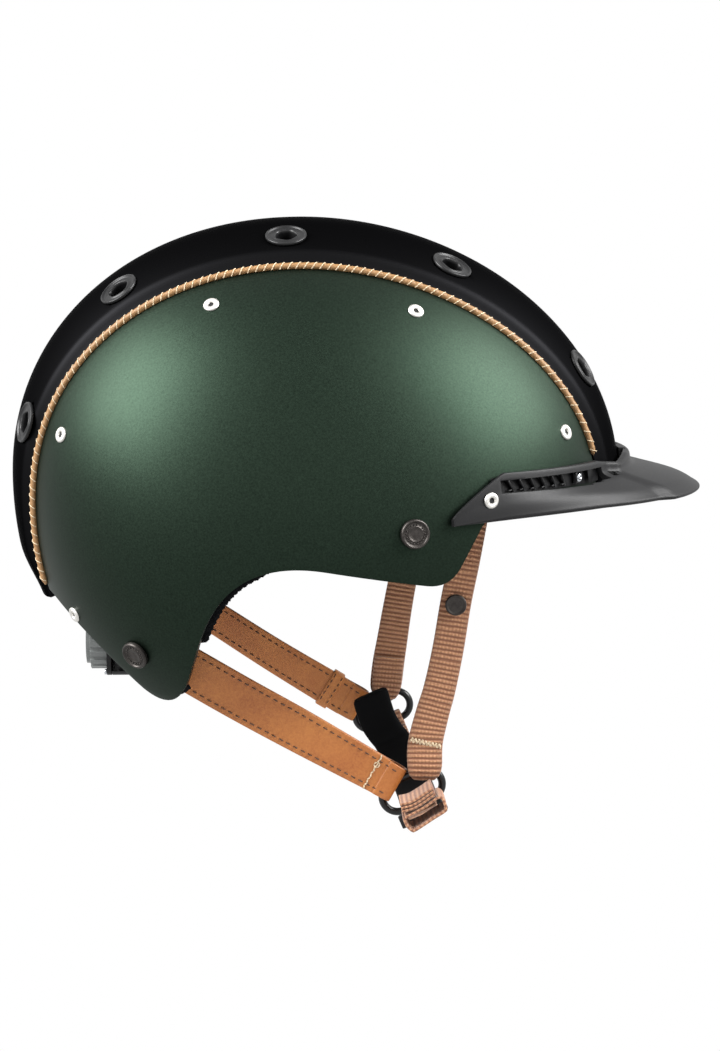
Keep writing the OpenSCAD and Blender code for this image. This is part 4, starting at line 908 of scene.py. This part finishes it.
def ribbon(points, across, widths, thickness, columns, rows, rib=0.0, rib_depth=0.0, square=0.3):
    """Closed strap through points. Across holds the way to one edge at each point, and widths
    its widths there. Ribs cross it at a pitch. Its UV map is in tenths of a metre. A small
    square share gives it a section with tight corners."""
    samples = 600
    line = [through(points, i / samples) for i in range(samples + 1)]
    lengths = [0]
    for a, b in zip(line, line[1:]):
        lengths.append(lengths[-1] + (b - a).length)

    def place(along, turn):
        spot = min(samples - 1, int(along * samples))
        side_way = through(across, along).normalized()
        ahead = (through(points, min(1, along + 0.003)) - through(points, max(0, along - 0.003))).normalized()
        face = side_way.cross(ahead).normalized()
        length = lengths[spot]
        ripple = 1 + (rib_depth * math.cos(2 * math.pi * length / rib) if rib else 0)
        half = through(widths, along) / 2
        angle = 2 * math.pi * turn
        level, rise = math.cos(angle), math.sin(angle)
        x = math.copysign(abs(level) ** square, level) * half * (1 + 0.02 * (ripple - 1))
        z = math.copysign(abs(rise) ** square, rise) * thickness / 2 * ripple
        return through(points, along) + side_way * x + face * z
    mesh = surface(columns, rows, place, closed=True)
    shares = mesh.loops.layers.uv.verify()
    for face in mesh.faces:
        for loop in face.loops:
            along, turn = loop[shares].uv
            spot = min(samples, int(along * samples))
            loop[shares].uv = (lengths[spot] / 100,
                               math.cos(2 * math.pi * turn) * through(widths, along) / 200)
    ends = [e for e in mesh.edges if e.is_boundary]
    bmesh.ops.holes_fill(mesh, edges=ends, sides=0)
    return mesh


def thread_run(start, end, normal, radius=0.32, sink=0.3):
    """One stitch that comes out of the leather, lies on it and goes back in."""
    ahead = (end - start).normalized()
    across = ahead.cross(normal).normalized()

    def place(along, turn):
        middle = start.lerp(end, along) + normal * (math.sin(math.pi * along) ** 0.4 * (radius + sink) - sink)
        turn *= 2 * math.pi
        return middle + (normal * math.cos(turn) + across * math.sin(turn)) * radius
    return surface(6, 5, place, closed=True)


def seam_on(points, across, widths, toward):
    """Rows of stitches along both edges of a leather layer, on the face that looks one way."""
    samples = 800
    line = [through(points, i / samples) for i in range(samples + 1)]
    walk, marks, left = 0, [], seam_pitch / 2
    for i, (a, b) in enumerate(zip(line, line[1:])):
        walk += (b - a).length
        if walk >= left:
            left += seam_pitch
            marks.append(i / samples)
    stitches = []
    for mark in marks:
        side_way = through(across, mark).normalized()
        ahead = (through(points, min(1, mark + 0.003)) - through(points, max(0, mark - 0.003))).normalized()
        face = side_way.cross(ahead).normalized()
        if face.dot(toward) < 0:
            face = -face
        reach = ahead * seam_pitch * stitch_share / 2
        for edge in (1, -1):
            middle = through(points, mark) + side_way * edge * (through(widths, mark) / 2 - seam_inset)
            spot = middle + face * layer / 2
            stitches.append(thread_run(spot - reach, spot + reach, face, 0.26, 0.22))
    return stitches


def strap_layout(path, side, outs):
    """Points and ways across of a strap beside the cheek, each some way out from its plane."""
    points = [harness(a, -strap_y - out, up, side) for (a, up), out in zip(path, outs)]
    ways = []
    for i in range(len(points)):
        ahead = points[min(i + 1, len(points) - 1)] - points[max(i - 1, 0)]
        ways.append(Vector((0, 1, 0)).cross(ahead).normalized())
    return points, ways


leather_paths = {
    "right": [(-4.85, 4.75), (-12.15, 14.55), (-34.4, 44.5), (-53.4, 69.9), (-73, hinge_up - 1)],
    "left": [(-8.9, 6.1), (-16, 15.7), (-37, 46), (-54.1, 72.3), (-65, hinge_up - 9)]}
leather_widths = {
    "right": [16.2, 16.4, 16.6, 17, 19.2, 19.6, 19.6],
    "left": [16.2, 16.4, 16.6, 17, 16, 15.4, 15.4]}
fold_at, fold_steps = 0.7, (1.0, 3.4, 7.5, 13)
layer_outs = [1.9, ring_bar / 2 + layer / 2 + 0.15, 2.1, 1.0, 0.72, 0.72, 0.72]
leather_fronts = {}
for side, flip in (("right", -1), ("left", 1)):
    end, second = (Vector(spot) for spot in leather_paths[side][:2])
    way = (second - end).normalized()
    path = [end + way * step for step in fold_steps] + leather_paths[side][2:]
    widths = leather_widths[side]
    front, across = strap_layout(path, side, layer_outs)
    back, _ = strap_layout(path, side, [-out for out in layer_outs])
    turn_at = end + way * fold_at
    fold = [harness(turn_at.x, -strap_y, turn_at.y, side)]
    points = front[::-1] + fold + back
    strap = ribbon(points, across[::-1] + across[:1] + across, widths[::-1] + widths[:1] + widths, layer,
                   300, 20, square=0.2)
    piece("leather_strap_" + side, strap, saddle_leather, side + "_straps",
          ["leather_" + side])
    outward = Vector((0, flip, 0))
    seams = seam_on(front[1:], across[1:], widths[1:], outward)
    seams += seam_on(back[1:], across[1:], widths[1:], -outward)
    piece("leather_seam_" + side, joined(seams), dark_thread, side + "_straps")
    leather_fronts[side] = front, across, widths


# Webbing straps: polyester webbing 15 mm wide with a rib every 2.15 mm. Each is looped round
# its ring and closed by a zigzag bar tack. A small snap sits on its outer face.
webbing_thickness, rib_pitch, rib_depth, yarn_pitch = 1.5, 2.15, 0.24, 0.7
webbing_paths = {
    "right": [(10.4, 10.4), (13.9, 17.7), (21.8, 28.2), (29.2, 37.3), (39.5, 52), (51, 70), (61.5, 85.2),
              (72, 101)],
    "left": [(7.5, 12.5), (12, 20.5), (18, 30), (25, 41), (32.2, 51.9), (42, 66), (54, 80),
             (62, hinge_up - 10)]}
webbing_widths = [13.6, 13.6, 13.6, 13.8, 14.2, 14.8, 15.4, 15.2, 12.8, 7.5, 11.5, 14, 14.2, 14]
snap_at = {"right": (50.4, 69), "left": (44.3, 68.6)}
snap_profile = ((0.01, 1.75), (1.8, 1.7), (3.2, 1.5), (3.5, 1.55), (3.9, 1.95), (4.3, 2.0), (4.6, 1.7),
                (4.75, 1.1), (4.6, 0.1))

# Ribbed webbing: pale tan ribs with faint yarns along them, in a matt and slightly furry cloth. The valleys
# between the ribs are painted dark brown as painted shade, mottled by the fuzz. It follows the strap, so it
# reads the UV map.
fuzz_size = 0.6
ribbed_webbing, tree, shader = new_material("ribbed polyester webbing")
strap_map = add_node(tree, "ShaderNodeUVMap").outputs["UV"]
ribs = add_node(tree, "ShaderNodeTexWave", {
    "Vector": strap_map, "Scale": 10 * math.pi / rib_pitch, "Distortion": 0.7, "Detail": 1.0,
    "Detail Scale": 3.0, "Phase Offset": math.pi}, bands_direction="X").outputs["Fac"]
yarns = add_node(tree, "ShaderNodeTexWave", {
    "Vector": strap_map, "Scale": 10 * math.pi / yarn_pitch, "Distortion": 0.8},
    bands_direction="Y").outputs["Fac"]
weave = add_node(tree, "ShaderNodeMath", {0: ribs, 1: yarns}, operation="MULTIPLY").outputs[0]
coords = add_node(tree, "ShaderNodeTexCoord").outputs["Object"]
fuzz = add_node(tree, "ShaderNodeTexNoise", {
    "Vector": coords, "Scale": 1000 / fuzz_size, "Detail": 3.0}).outputs["Fac"]
# Darker in the valleys between ribs: painted shade, mottled at random by the fuzz.
shade = add_node(tree, "ShaderNodeMath", {0: ribs, 1: fuzz}, operation="MULTIPLY").outputs[0]
tone = add_node(tree, "ShaderNodeMix", {
    "Factor": shade, "A": linear("#693d24"), "B": linear("#cb976c")}, data_type="RGBA").outputs["Result"]
bumps = add_node(tree, "ShaderNodeBump", {"Height": weave, "Distance": 0.2e-3})
set_sockets(tree, shader, {"Base Color": tone, "Roughness": 0.72, "Sheen Weight": 0.25,
                           "Sheen Roughness": 0.5, "Normal": bumps.outputs["Normal"]})


def looped_end(path, side):
    """Points of a strap that goes down to its ring, round the bar and back up behind itself."""
    bar, above = Vector(path[0]), Vector(path[1])
    down = (bar - above).normalized()
    spread = ring_bar / 2 + webbing_thickness / 2 + 0.2
    stops = [(down * 2, -spread), (down * 6.4, -spread * 0.8), (down * 8.6, 0), (down * 6.4, spread * 0.8),
             (down * 2, spread), (down * -5, spread * 0.75), (down * -12, spread * 0.6)]
    points = [harness(ahead, -strap_y, up, side) for ahead, up in reversed(path[2:])]
    points.append(harness(path[1][0], -strap_y - 1.0, path[1][1], side))
    points += [harness(bar.x + move.x, -strap_y + y, bar.y + move.y, side) for move, y in stops]
    return points


for side, flip in (("right", -1), ("left", 1)):
    path = webbing_paths[side]
    points = looped_end(path, side)
    straight = len(path) - 2
    loop_ahead = harness(path[0][0], 0, path[0][1], side) - harness(path[1][0], 0, path[1][1], side)
    ways = []
    for i in range(len(points)):
        ahead = points[i + 1] - points[max(0, i - 1)] if i < straight else loop_ahead
        ways.append(Vector((0, 1, 0)).cross(ahead).normalized())
    strap = ribbon(points, ways, webbing_widths, webbing_thickness, 620, 20, rib_pitch, rib_depth)
    piece("webbing_strap_" + side, strap, ribbed_webbing, side + "_straps",
          ["webbing_" + side])
    base = harness(snap_at[side][0], -strap_y - 0.95, snap_at[side][1], side)
    piece("webbing_snap_" + side, placed(turned(snap_profile, 40), base, Vector((0, flip, 0))), dark_pewter,
          side + "_straps", ["snap_" + side])


# Chin strap: webbing looped round both rings' lower bars and hanging between them, with a
# nylon side-release buckle near the right ring.
chin_sag, bar_up, chin_width, chin_rib_depth = 15, 6.8, 15.0, 0.2
chin_low = -bar_up - (ring_bar * 0.72 + 0.4) - 1.3
loop_radius, loop_thickness, loop_steps = 3.6, 1.3, 16
buckle_y, socket_length, plug_length = -43, 19, 7


def chin_spot(y):
    """Middle of the hanging webbing in the harness frame."""
    share = (y + strap_y) / (2 * strap_y)
    return (left_shift[0] * share, y,
            chin_low + 0.75 + left_shift[1] * share - chin_sag * (1 - (y / strap_y) ** 2))


def chin_points(start, end, count=9):
    spots = [chin_spot(start + (end - start) * i / (count - 1)) for i in range(count)]
    return [tilt @ Vector(spot) for spot in spots]


harness_ahead = (tilt.to_3x3() @ Vector((1, 0, 0))).normalized()


def bar_loop(ahead, y, up):
    """Points of webbing wrapped round a ring's lower bar, seen along the bar."""
    points = []
    for i in range(loop_steps + 1):
        turn = 2 * math.pi * i / loop_steps - math.pi / 2
        points.append(tilt @ Vector((ahead, y + loop_radius * math.cos(turn),
                                     up - bar_up + loop_radius * math.sin(turn))))
    return points


def chin_webbing(points, thickness, columns):
    """Piece of the chin strap's webbing through points."""
    return ribbon(points, [harness_ahead] * len(points), [chin_width] * len(points), thickness, columns, 20,
                  rib_pitch, chin_rib_depth)


runs = []
for start, end in ((-strap_y + 1.5, buckle_y - socket_length / 2 + 1.5),
                   (buckle_y + socket_length / 2 + plug_length - 1, strap_y - 1.5)):
    runs.append(chin_webbing(chin_points(start, end), webbing_thickness, int(abs(end - start) * 3) + 20))
for ring in ((0, -strap_y, 0), (left_shift[0], strap_y, left_shift[1])):
    runs.append(chin_webbing(bar_loop(*ring), loop_thickness, 90))
piece("chin_strap_webbing", joined(runs), ribbed_webbing, "chin_strap", ["chin_webbing"])

for part, body in (("socket", "chin_strap"), ("plug", "chin_strap"), ("button", "button")):
    carried_over("chin_buckle_" + part, "buckle_" + part, matt_nylon, body, 0.5)


# Free end of the chin strap: the same webbing folded in three beside the right ring, then
# turned into a flat loop. Its folds are seen edge-on from the side.
tail_y, tail_thickness, columns_per_point = -strap_y - 4.6, 1.4, 20
flat_loop = [(-6.6, -5.0), (-2.0, -4.6), (3.4, -4.0), (9.8, -2.6), (11.4, -3.4), (11.7, -5.2), (11.2, -8.4),
             (10.1, -9.4), (4, -10.4), (-4.4, -11.9), (-6.1, -11.5), (-7.2, -9.0), (-7.3, -6.2), (-6.6, -5.2)]


def edge_on(path):
    """Webbing along a path in side view, its width across the helmet."""
    points = [tilt @ Vector((ahead, tail_y - chin_width / 2, up)) for ahead, up in path]
    return ribbon(points, [Vector((0, 1, 0))] * len(points), [chin_width] * len(points), tail_thickness,
                  columns_per_point * len(path), 20)


folds = [edge_on([(-6.2 - 0.3 * k, 1.2 - 1.5 * k), (-1.8, 0.4 - 1.5 * k), (3.4, 1.0 - 1.5 * k),
                  (9.4, 2.3 - 1.45 * k)]) for k in range(3)]
folds.append(edge_on(flat_loop))
piece("strap_free_end", joined(folds), ribbed_webbing, "chin_strap", ["strap_tail"])


# Tack stitches: waxed cream thread across the right leather's fold, with a knotted end, and a
# zigzag of the same thread that closes each webbing loop.
tack_count, tack_overlap, tack_wave = 11, 0.15, 0.25
knot_radius, knot_turns = 1.3, 6
zigzag_half, zigzag_rise, zigzag_count = 6.9, 1.1, 18

front, across, widths = leather_fronts["right"]
spot, side_way, half = front[3], across[3], widths[3] / 2
ahead, outward = (spot - front[2]).normalized(), Vector((0, -1, 0))
lift = outward * layer / 2
tack = []
for i in range(tack_count):
    low = -half + 2 * half * i / tack_count
    high = min(half, -half + 2 * half * (i + 1 + tack_overlap) / tack_count)
    wave = ahead * (tack_wave if i % 2 else -tack_wave)
    tack.append(thread_run(spot + side_way * low + wave + lift, spot + side_way * high - wave + lift,
                           outward, 0.34, 0.1))
knot = spot + side_way * half * 0.45 + lift
for i in range(knot_turns):
    turn, after = 2 * math.pi * i / knot_turns, 2 * math.pi * (i + 1.2) / knot_turns
    tack.append(thread_run(knot + (side_way * math.cos(turn) + ahead * math.sin(turn)) * knot_radius,
                           knot + (side_way * math.cos(after) + ahead * math.sin(after)) * knot_radius,
                           outward, 0.28, 0.05))
piece("leather_tack", joined(tack), waxed_thread, "right_straps")

for side, flip in (("right", -1), ("left", 1)):
    spot, before = Vector(webbing_paths[side][1]), Vector(webbing_paths[side][2])
    way = (before - spot).normalized()
    side_way = Vector((way.y, -way.x))
    marks = []
    for i in range(zigzag_count + 1):
        place = (spot + side_way * zigzag_half * (2 * i / zigzag_count - 1)
                 + way * (zigzag_rise if i % 2 else -zigzag_rise))
        marks.append(harness(place.x, -strap_y - 1.75, place.y, side))
    zigzag = [thread_run(a, b, Vector((0, flip, 0)), 0.36, 0.05) for a, b in zip(marks, marks[1:])]
    piece("webbing_tack_" + side, joined(zigzag), waxed_thread, side + "_straps")


# Keeper: a narrow band of the same saddle leather, sewn into a loop round the left strap
# above its ring. It holds the strap's two layers together.
keeper_half, keeper_depth, keeper_width, keeper_thickness = 8.9, 2.1, 5.6, 1.1
keeper_outline = ((1, -0.4), (1, 0.4), (0.9, 1), (0, 1.08), (-0.9, 1), (-1, 0.4), (-1, -0.4), (-0.9, -1),
                  (0, -1.08), (0.9, -1), (1, -0.4))
bar_half, bar_aside, bar_out = 8, 1.9, 3.9
bar_shares = (1, 0.6, 0.2, -0.2, -0.6)

front, across, widths = leather_fronts["left"]
spot, side_way = front[3].lerp(front[4], 0.12), across[3]
ahead = (front[4] - front[3]).normalized()
inward = Vector((0, -1, 0))
loop = [spot + side_way * aside * keeper_half + Vector((0, deep * keeper_depth - 0.9, 0))
        for aside, deep in keeper_outline]
keeper = ribbon(loop, [ahead] * len(loop), [keeper_width] * len(loop), keeper_thickness, 80, 16, square=0.25)
piece("leather_keeper", keeper, saddle_leather, "left_straps")
bars = []
for edge in (1, -1):
    row = spot + ahead * edge * bar_aside + inward * bar_out
    for share in bar_shares:
        bars.append(thread_run(row + side_way * share * bar_half, row + side_way * (share - 0.2) * bar_half,
                               inward, 0.24, 0.1))
piece("keeper_stitches", joined(bars), dark_thread, "left_straps")


# Chin pad: a soft neoprene sleeve on the chin webbing, crowned and with rounded ends. Its
# left end stands up in front of the left ring.
pad_from, pad_to, pad_width, pad_height, pad_over_webbing = -25, 50, 17.8, 4.4, 3.3
pad_turned = ((-1, 1.8, 4.5), (-1.5, 1.1, 11), (-0.5, -0.6, 18), (1, -2.2, 26))
pad_bow, pad_steps = 5, 12

# Neoprene: deep black that takes no light but a faint grain.
cell_size = 0.5
black_neoprene, tree, shader = new_material("black neoprene")
coords = add_node(tree, "ShaderNodeTexCoord").outputs["Object"]
cells = add_node(tree, "ShaderNodeTexNoise", {"Vector": coords, "Scale": 1000 / cell_size}).outputs["Fac"]
bumps = add_node(tree, "ShaderNodeBump", {"Height": cells, "Distance": 0.04e-3, "Strength": 0.5})
set_sockets(tree, shader, {"Base Color": linear("#060607"), "Roughness": 0.75, "IOR": 1.15,
                           "Normal": bumps.outputs["Normal"]})

pad_line = []
for i in range(pad_steps + 1):
    ahead, y, up = chin_spot(pad_from + (pad_to - pad_from) * i / pad_steps)
    pad_line.append(Vector((ahead, y, up + pad_over_webbing)))
pad_line += [pad_line[-1] + Vector(step) for step in pad_turned]
for i, spot in enumerate(pad_line):
    spot.x -= pad_bow * max(0, i / (len(pad_line) - 1) - 0.2) ** 2
pad_line = [tilt @ spot for spot in pad_line]
pad_line = ([pad_line[0].lerp(pad_line[1], 0.02)] + pad_line[:-1]
            + [pad_line[-2].lerp(pad_line[-1], share) for share in (0.75, 0.97, 1)])
widths = [13.5, 16.4] + [pad_width] * (len(pad_line) - 4) + [16.2, 13.2]
pad = ribbon(pad_line, [harness_ahead] * len(pad_line), widths, pad_height, 90, 28, square=0.5)
pad = piece("chin_comfort_pad", pad, black_neoprene, "chin_strap", ["chin_pad"])
round_edges(pad, 1.4, 3, 50)


# Foam liner: expanded polystyrene moulded in one piece, dark grey, with the fine bead texture
# of the moulding. It fills the shells and stops 7 mm short of their lower edge.
foam_setback, foam_outer, foam_inner, foam_thickness = 7, -5.0, -22.9, 17.5
panel_hub = Vector((-38, 32))
foam_rear, foam_brow = crown_to - 5, crown_from + 4
rim_steps = 160

# Bead foam: matt dark grey, mottled by the beads that it was pressed from, with a fine seam
# round each of them.
bead_size, mottle_size = 3.2, 4
bead_foam, tree, shader = new_material("moulded bead foam")
coords = add_node(tree, "ShaderNodeTexCoord").outputs["Object"]
beads = add_node(tree, "ShaderNodeTexVoronoi", {
    "Vector": coords, "Scale": 1000 / bead_size}).outputs["Distance"]
mottle = add_node(tree, "ShaderNodeTexNoise", {"Vector": coords, "Scale": 1000 / mottle_size}).outputs["Fac"]
tone = add_node(tree, "ShaderNodeMix", {
    "Factor": mottle, "A": linear("#2c2c2e"), "B": linear("#3c3c3f")}, data_type="RGBA").outputs["Result"]
bumps = add_node(tree, "ShaderNodeBump", {"Height": beads, "Distance": 0.25e-3, "Strength": 0.7})
set_sockets(tree, shader, {"Base Color": tone, "Roughness": 0.8, "Normal": bumps.outputs["Normal"]})


def set_in(line, i, by):
    """Point of the lower edge moved into the panel."""
    along = line[min(len(line) - 1, i + 1)] - line[max(0, i - 1)]
    across = Vector((along.y, -along.x)).normalized()
    return line[i] + ((panel_hub - line[i]).normalized() + 1.5 * across).normalized() * by


side_of_foam = [side_point(*set_in(lower_edge, i, foam_setback), foam_outer) for i in range(len(lower_edge))]
rear_of_foam = [form_point(foam_rear, y, foam_outer) for y in (-24, -8, 8, 24)]
brow_of_foam = [form_point(foam_brow, y, foam_outer) for y in (27, 9, -9, -27)]
foam_rim = (side_of_foam + rear_of_foam + [Vector((p.x, -p.y, p.z)) for p in reversed(side_of_foam)]
            + brow_of_foam)
foam_rim.append(foam_rim[0])
foam_middle = Vector((form_centre[0], 0, form_centre[1]))
rim_marks = [along_line(foam_rim, i / rim_steps) for i in range(rim_steps + 1)]


def foam_place(around, down):
    """Place on the foam's inner face, from the crown down to its rim."""
    spot = around * rim_steps
    i = min(rim_steps - 1, int(spot))
    way = (rim_marks[i].lerp(rim_marks[i + 1], spot - i) - foam_middle).normalized()
    fall, turn = math.acos(way.z) * down, math.atan2(way.y, way.x)
    way = (math.sin(fall) * math.cos(turn), math.sin(fall) * math.sin(turn), math.cos(fall))
    return foam_middle + Vector(way) * way_out(tuple(foam_middle), way, foam_inner)


foam_sheet = surface(rim_steps, 40, foam_place, closed=True)
foam = piece("foam_liner", foam_sheet, bead_foam, "helmet", ["impact_liner"], outward=(-8, 0, 0))
wall(foam, foam_thickness, 1.5, 3, offset=1.0)


# Comfort pads: soft foam under black knitted fabric, each swollen by its filling between the
# sewn edges: brow, crown, nape and one at each side of the head, and one on the cradle.
pad_inset, pad_voxel, pad_swell, pad_fill = 0.8, 4.0, 2.0, 0.6
cloth_pressure, cloth_frames = 4.0, 20

# Knitted lining: black and lightless, with the soft dimples of its wales, each slightly darker at its hollow
# as painted shade. They are drawn 1.4 mm apart, wider than real ones.
wale_pitch = 1.4
knitted_lining, tree, shader = new_material("black knitted lining")
coords = add_node(tree, "ShaderNodeTexCoord").outputs["Object"]
wales = add_node(tree, "ShaderNodeTexVoronoi", {
    "Vector": coords, "Scale": 1000 / wale_pitch}).outputs["Distance"]
# Darker at the hollow of each dimple: painted shade.
tone = add_node(tree, "ShaderNodeMix", {
    "Factor": wales, "A": linear("#050506"), "B": linear("#101012")}, data_type="RGBA").outputs["Result"]
bumps = add_node(tree, "ShaderNodeBump", {"Height": wales, "Distance": 0.12e-3})
set_sockets(tree, shader, {"Base Color": tone, "Roughness": 0.85, "IOR": 1.12,
                           "Normal": bumps.outputs["Normal"]})


def stuffed(thing):
    """Swells a soft solid with cloth under pressure; no point moves further than the swell."""
    bpy.context.view_layer.objects.active = thing
    for other in bpy.context.selected_objects:
        other.select_set(False)
    thing.select_set(True)
    remesh = thing.modifiers.new("even weave", "REMESH")
    remesh.mode = "VOXEL"
    remesh.voxel_size = pad_voxel / 1000
    bpy.ops.object.modifier_apply(modifier=remesh.name)
    rest = [v.co.copy() for v in thing.data.vertices]
    cloth = thing.modifiers.new("filling", "CLOTH")
    cloth.settings.use_pressure = True
    cloth.settings.uniform_pressure_force = cloth_pressure
    cloth.settings.effector_weights.gravity = 0
    cloth.settings.quality = 4
    cloth.point_cache.frame_end = cloth_frames
    for step in range(1, cloth_frames + 1):
        bpy.context.scene.frame_set(step)
    swollen = thing.evaluated_get(bpy.context.evaluated_depsgraph_get())
    moved = [v.co.copy() for v in swollen.data.vertices]
    thing.modifiers.remove(cloth)
    bpy.context.scene.frame_set(1)
    for vert, start, end in zip(thing.data.vertices, rest, moved):
        step = end - start
        if step.length > pad_swell / 1000:
            step *= pad_swell / 1000 / step.length
        vert.co = start + step
    smooth = thing.modifiers.new("soft surface", "SUBSURF")
    smooth.levels = smooth.render_levels = 1
    for face in thing.data.polygons:
        face.use_smooth = True


for name, node, body in (("brow_comfort_pad", "brow_pad", "helmet"),
                         ("crown_comfort_pad", "crown_pad", "helmet"),
                         ("nape_comfort_pad", "nape_pad", "helmet"),
                         ("side_comfort_pads", "side_pads", "helmet"),
                         ("cradle_comfort_pad", "cradle_pad", "cradle")):
    mesh = merged_solid(node, 1e-3)
    mesh.normal_update()
    for vert, way in [(v, v.normal.copy()) for v in mesh.verts]:
        vert.co -= way * pad_inset
    pad = piece(name, mesh, knitted_lining, body, [node])
    stuffed(pad)


# Ear linings: the liner's black fabric, drawn over the foam's edge and gathered along the
# rear of each ear arch, where a little of it shows below the shell.
lining_from, lining_length = 0.5, 0.262
strap_from, strap_to, strap_ease = 0.66, 0.742, 0.012
shown_first, shown_more, hidden = 1.6, 2.0, 1.2
lining_depth, lining_half, lining_inward = -5.5, 1.2, 2.2


def gathered_place(across, around, side):
    """Place on the gathered roll of lining; it stays hidden where the leather strap passes."""
    share = lining_from + lining_length * across
    behind_strap = eased((share - strap_from) / strap_ease) * eased((strap_to - share) / strap_ease)
    show = (shown_first + shown_more * min(1, across / 0.45)) * (1 - behind_strap) - hidden * behind_strap
    first = along_line(lower_edge, share)
    ahead = (along_line(lower_edge, share + 0.004) - along_line(lower_edge, share - 0.004)).normalized()
    inward = Vector((ahead.y, -ahead.x))
    ends = min(1, 8 * across, 8 * (1 - across)) ** 0.5
    pleat = (0.2 * math.sin(2 * math.pi * across * 31 + 2 * math.sin(19 * across))
             + 0.12 * math.sin(2 * math.pi * across * 74 + 3 * math.sin(31 * across)))
    turn = 2 * math.pi * around
    reach = lining_inward - show / 2 - (lining_inward + show / 2 + pleat) * math.cos(turn) * ends
    depth = lining_depth + (lining_half + 0.4 * pleat) * math.sin(turn) * ends
    spot = first + inward * reach
    place = side_point(spot.x, spot.y, depth)
    return Vector((place.x, place.y * side, place.z))


gathers = joined([surface(220, 16, lambda a, b, s=s: gathered_place(a, b, s), closed=True)
                  for s in (1, -1)])
lining = piece("gathered_ear_linings", gathers, knitted_lining, "helmet", ["ear_linings"])


# Strap ends inside the shell: short ends of leather and webbing that run from the straps'
# tops to the shell wall, where they are riveted.
for name, kept, material, slot in (("leather_strap_ends", -1, saddle_leather, "tan_leather"),
                                   ("webbing_strap_ends", 1, ribbed_webbing, "tan_webbing")):
    mesh = merged_solid("strap_anchors", 2e-3)
    bmesh.ops.delete(mesh, geom=[v for v in mesh.verts if v.co.x * kept < 0], context="VERTS")
    ends = piece(name, mesh, material, "helmet", ["strap_anchors"] if kept < 0 else ())
    round_edges(ends, 0.3, 2, 30)


# Size adjuster: a nylon head band in two strips, whose toothed ends cross in a gear housing
# at the nape. A ribbed dial on the housing's back turns the pinion between them.
tooth_round, moulding_round, screw_round = 0.15, 0.5, 0.1

# Grey acetal: cool mid grey with a dull shine, paler than the housing behind it.
dial_grain = 0.8
dial_nylon, tree, shader = new_material("grey moulded acetal")
coords = add_node(tree, "ShaderNodeTexCoord").outputs["Object"]
grain = add_node(tree, "ShaderNodeTexNoise", {"Vector": coords, "Scale": 1000 / dial_grain}).outputs["Fac"]
bumps = add_node(tree, "ShaderNodeBump", {"Height": grain, "Distance": 0.02e-3, "Strength": 0.5})
set_sockets(tree, shader, {"Base Color": linear("#5c5f5e"), "Roughness": 0.35,
                           "Normal": bumps.outputs["Normal"]})

for side in ("right", "left"):
    carried_over("head_band_" + side + "_strip", "head_band_" + side, matt_nylon, "arm_" + side,
                 tooth_round, 1)
carried_over("adjuster_pinion", "drive_pinion", matt_nylon, "dial", tooth_round)
carried_over("adjuster_housing", "gear_housing", matt_nylon, "cradle", moulding_round)
carried_over("adjuster_cover", "housing_cover", matt_nylon, "cradle", moulding_round)
carried_over("adjuster_dial", "dial_knob", dial_nylon, "dial", moulding_round)
carried_over("adjuster_screws", "cover_screws", zinc_steel, "cradle", screw_round, 1)


# Studio: pale paper below, a wide soft lamp high at each end of the helmet and a weak one at
# its side. Camera, mirror and glass rays see paper and room as pure white; the other rays see
# them dimmer, so that little light comes back from below.
paper_below = 0.34


def seen_as_white(tree, plain, output, kind):
    """Shows white to camera, glossy and transmission rays, and the plain shader to the rest."""
    rays = add_node(tree, "ShaderNodeLightPath").outputs
    either = add_node(tree, "ShaderNodeMath", {0: rays["Is Glossy Ray"], 1: rays["Is Transmission Ray"]},
                      operation="MAXIMUM").outputs[0]
    every = add_node(tree, "ShaderNodeMath", {0: either, 1: rays["Is Camera Ray"]},
                     operation="MAXIMUM").outputs[0]
    white = add_node(tree, kind, {"Color": (1, 1, 1, 1), "Strength": 1.0}).outputs[0]
    chosen = add_node(tree, "ShaderNodeMixShader", {0: every, 1: plain, 2: white}).outputs[0]
    set_sockets(tree, output, {"Surface": chosen})


studio_paper, tree, shader = new_material("white studio paper")
set_sockets(tree, shader, {"Base Color": linear("#c6c6c6"), "Roughness": 0.9})
seen_as_white(tree, shader.outputs["BSDF"], tree.nodes["Material Output"], "ShaderNodeEmission")
paper = bmesh.new()
bmesh.ops.create_grid(paper, x_segments=1, y_segments=1, size=8)
bmesh.ops.translate(paper, vec=Vector((0, 0, -paper_below)), verts=paper.verts)
data = bpy.data.meshes.new("floor_paper")
paper.to_mesh(data)
paper.free()
data.materials.append(studio_paper)
floor = bpy.data.objects.new("floor_paper", data)
bpy.context.scene.collection.objects.link(floor)

room = bpy.data.worlds.new("lit room")
bpy.context.scene.world = room
room.use_nodes = True
backdrop = room.node_tree.nodes["Background"]
backdrop.inputs["Color"].default_value = (1, 1, 1, 1)
backdrop.inputs["Strength"].default_value = 0.2
seen_as_white(room.node_tree, backdrop.outputs[0], room.node_tree.nodes["World Output"],
              "ShaderNodeBackground")


def soft_lamp(name, place, target, size, power):
    lamp = bpy.data.lights.new(name, "AREA")
    lamp.shape = "RECTANGLE"
    lamp.size, lamp.size_y = size
    lamp.energy = power
    thing = bpy.data.objects.new(name, lamp)
    thing.location = place
    thing.rotation_euler = (Vector(target) - Vector(place)).to_track_quat("-Z", "Y").to_euler()
    bpy.context.scene.collection.objects.link(thing)


soft_lamp("rear_soft_box", (-1.25, -0.4, 0.93), (0, 0, 0.03), (1.0, 1.0), 80)
soft_lamp("front_soft_box", (1.25, -0.3, 0.96), (0, 0, 0.03), (1.0, 1.0), 75)
soft_lamp("face_soft_box", (0.1, -1.7, 0.6), (0, 0, -0.05), (1.0, 0.8), 2)

bpy.context.scene.view_settings.view_transform = "Standard"
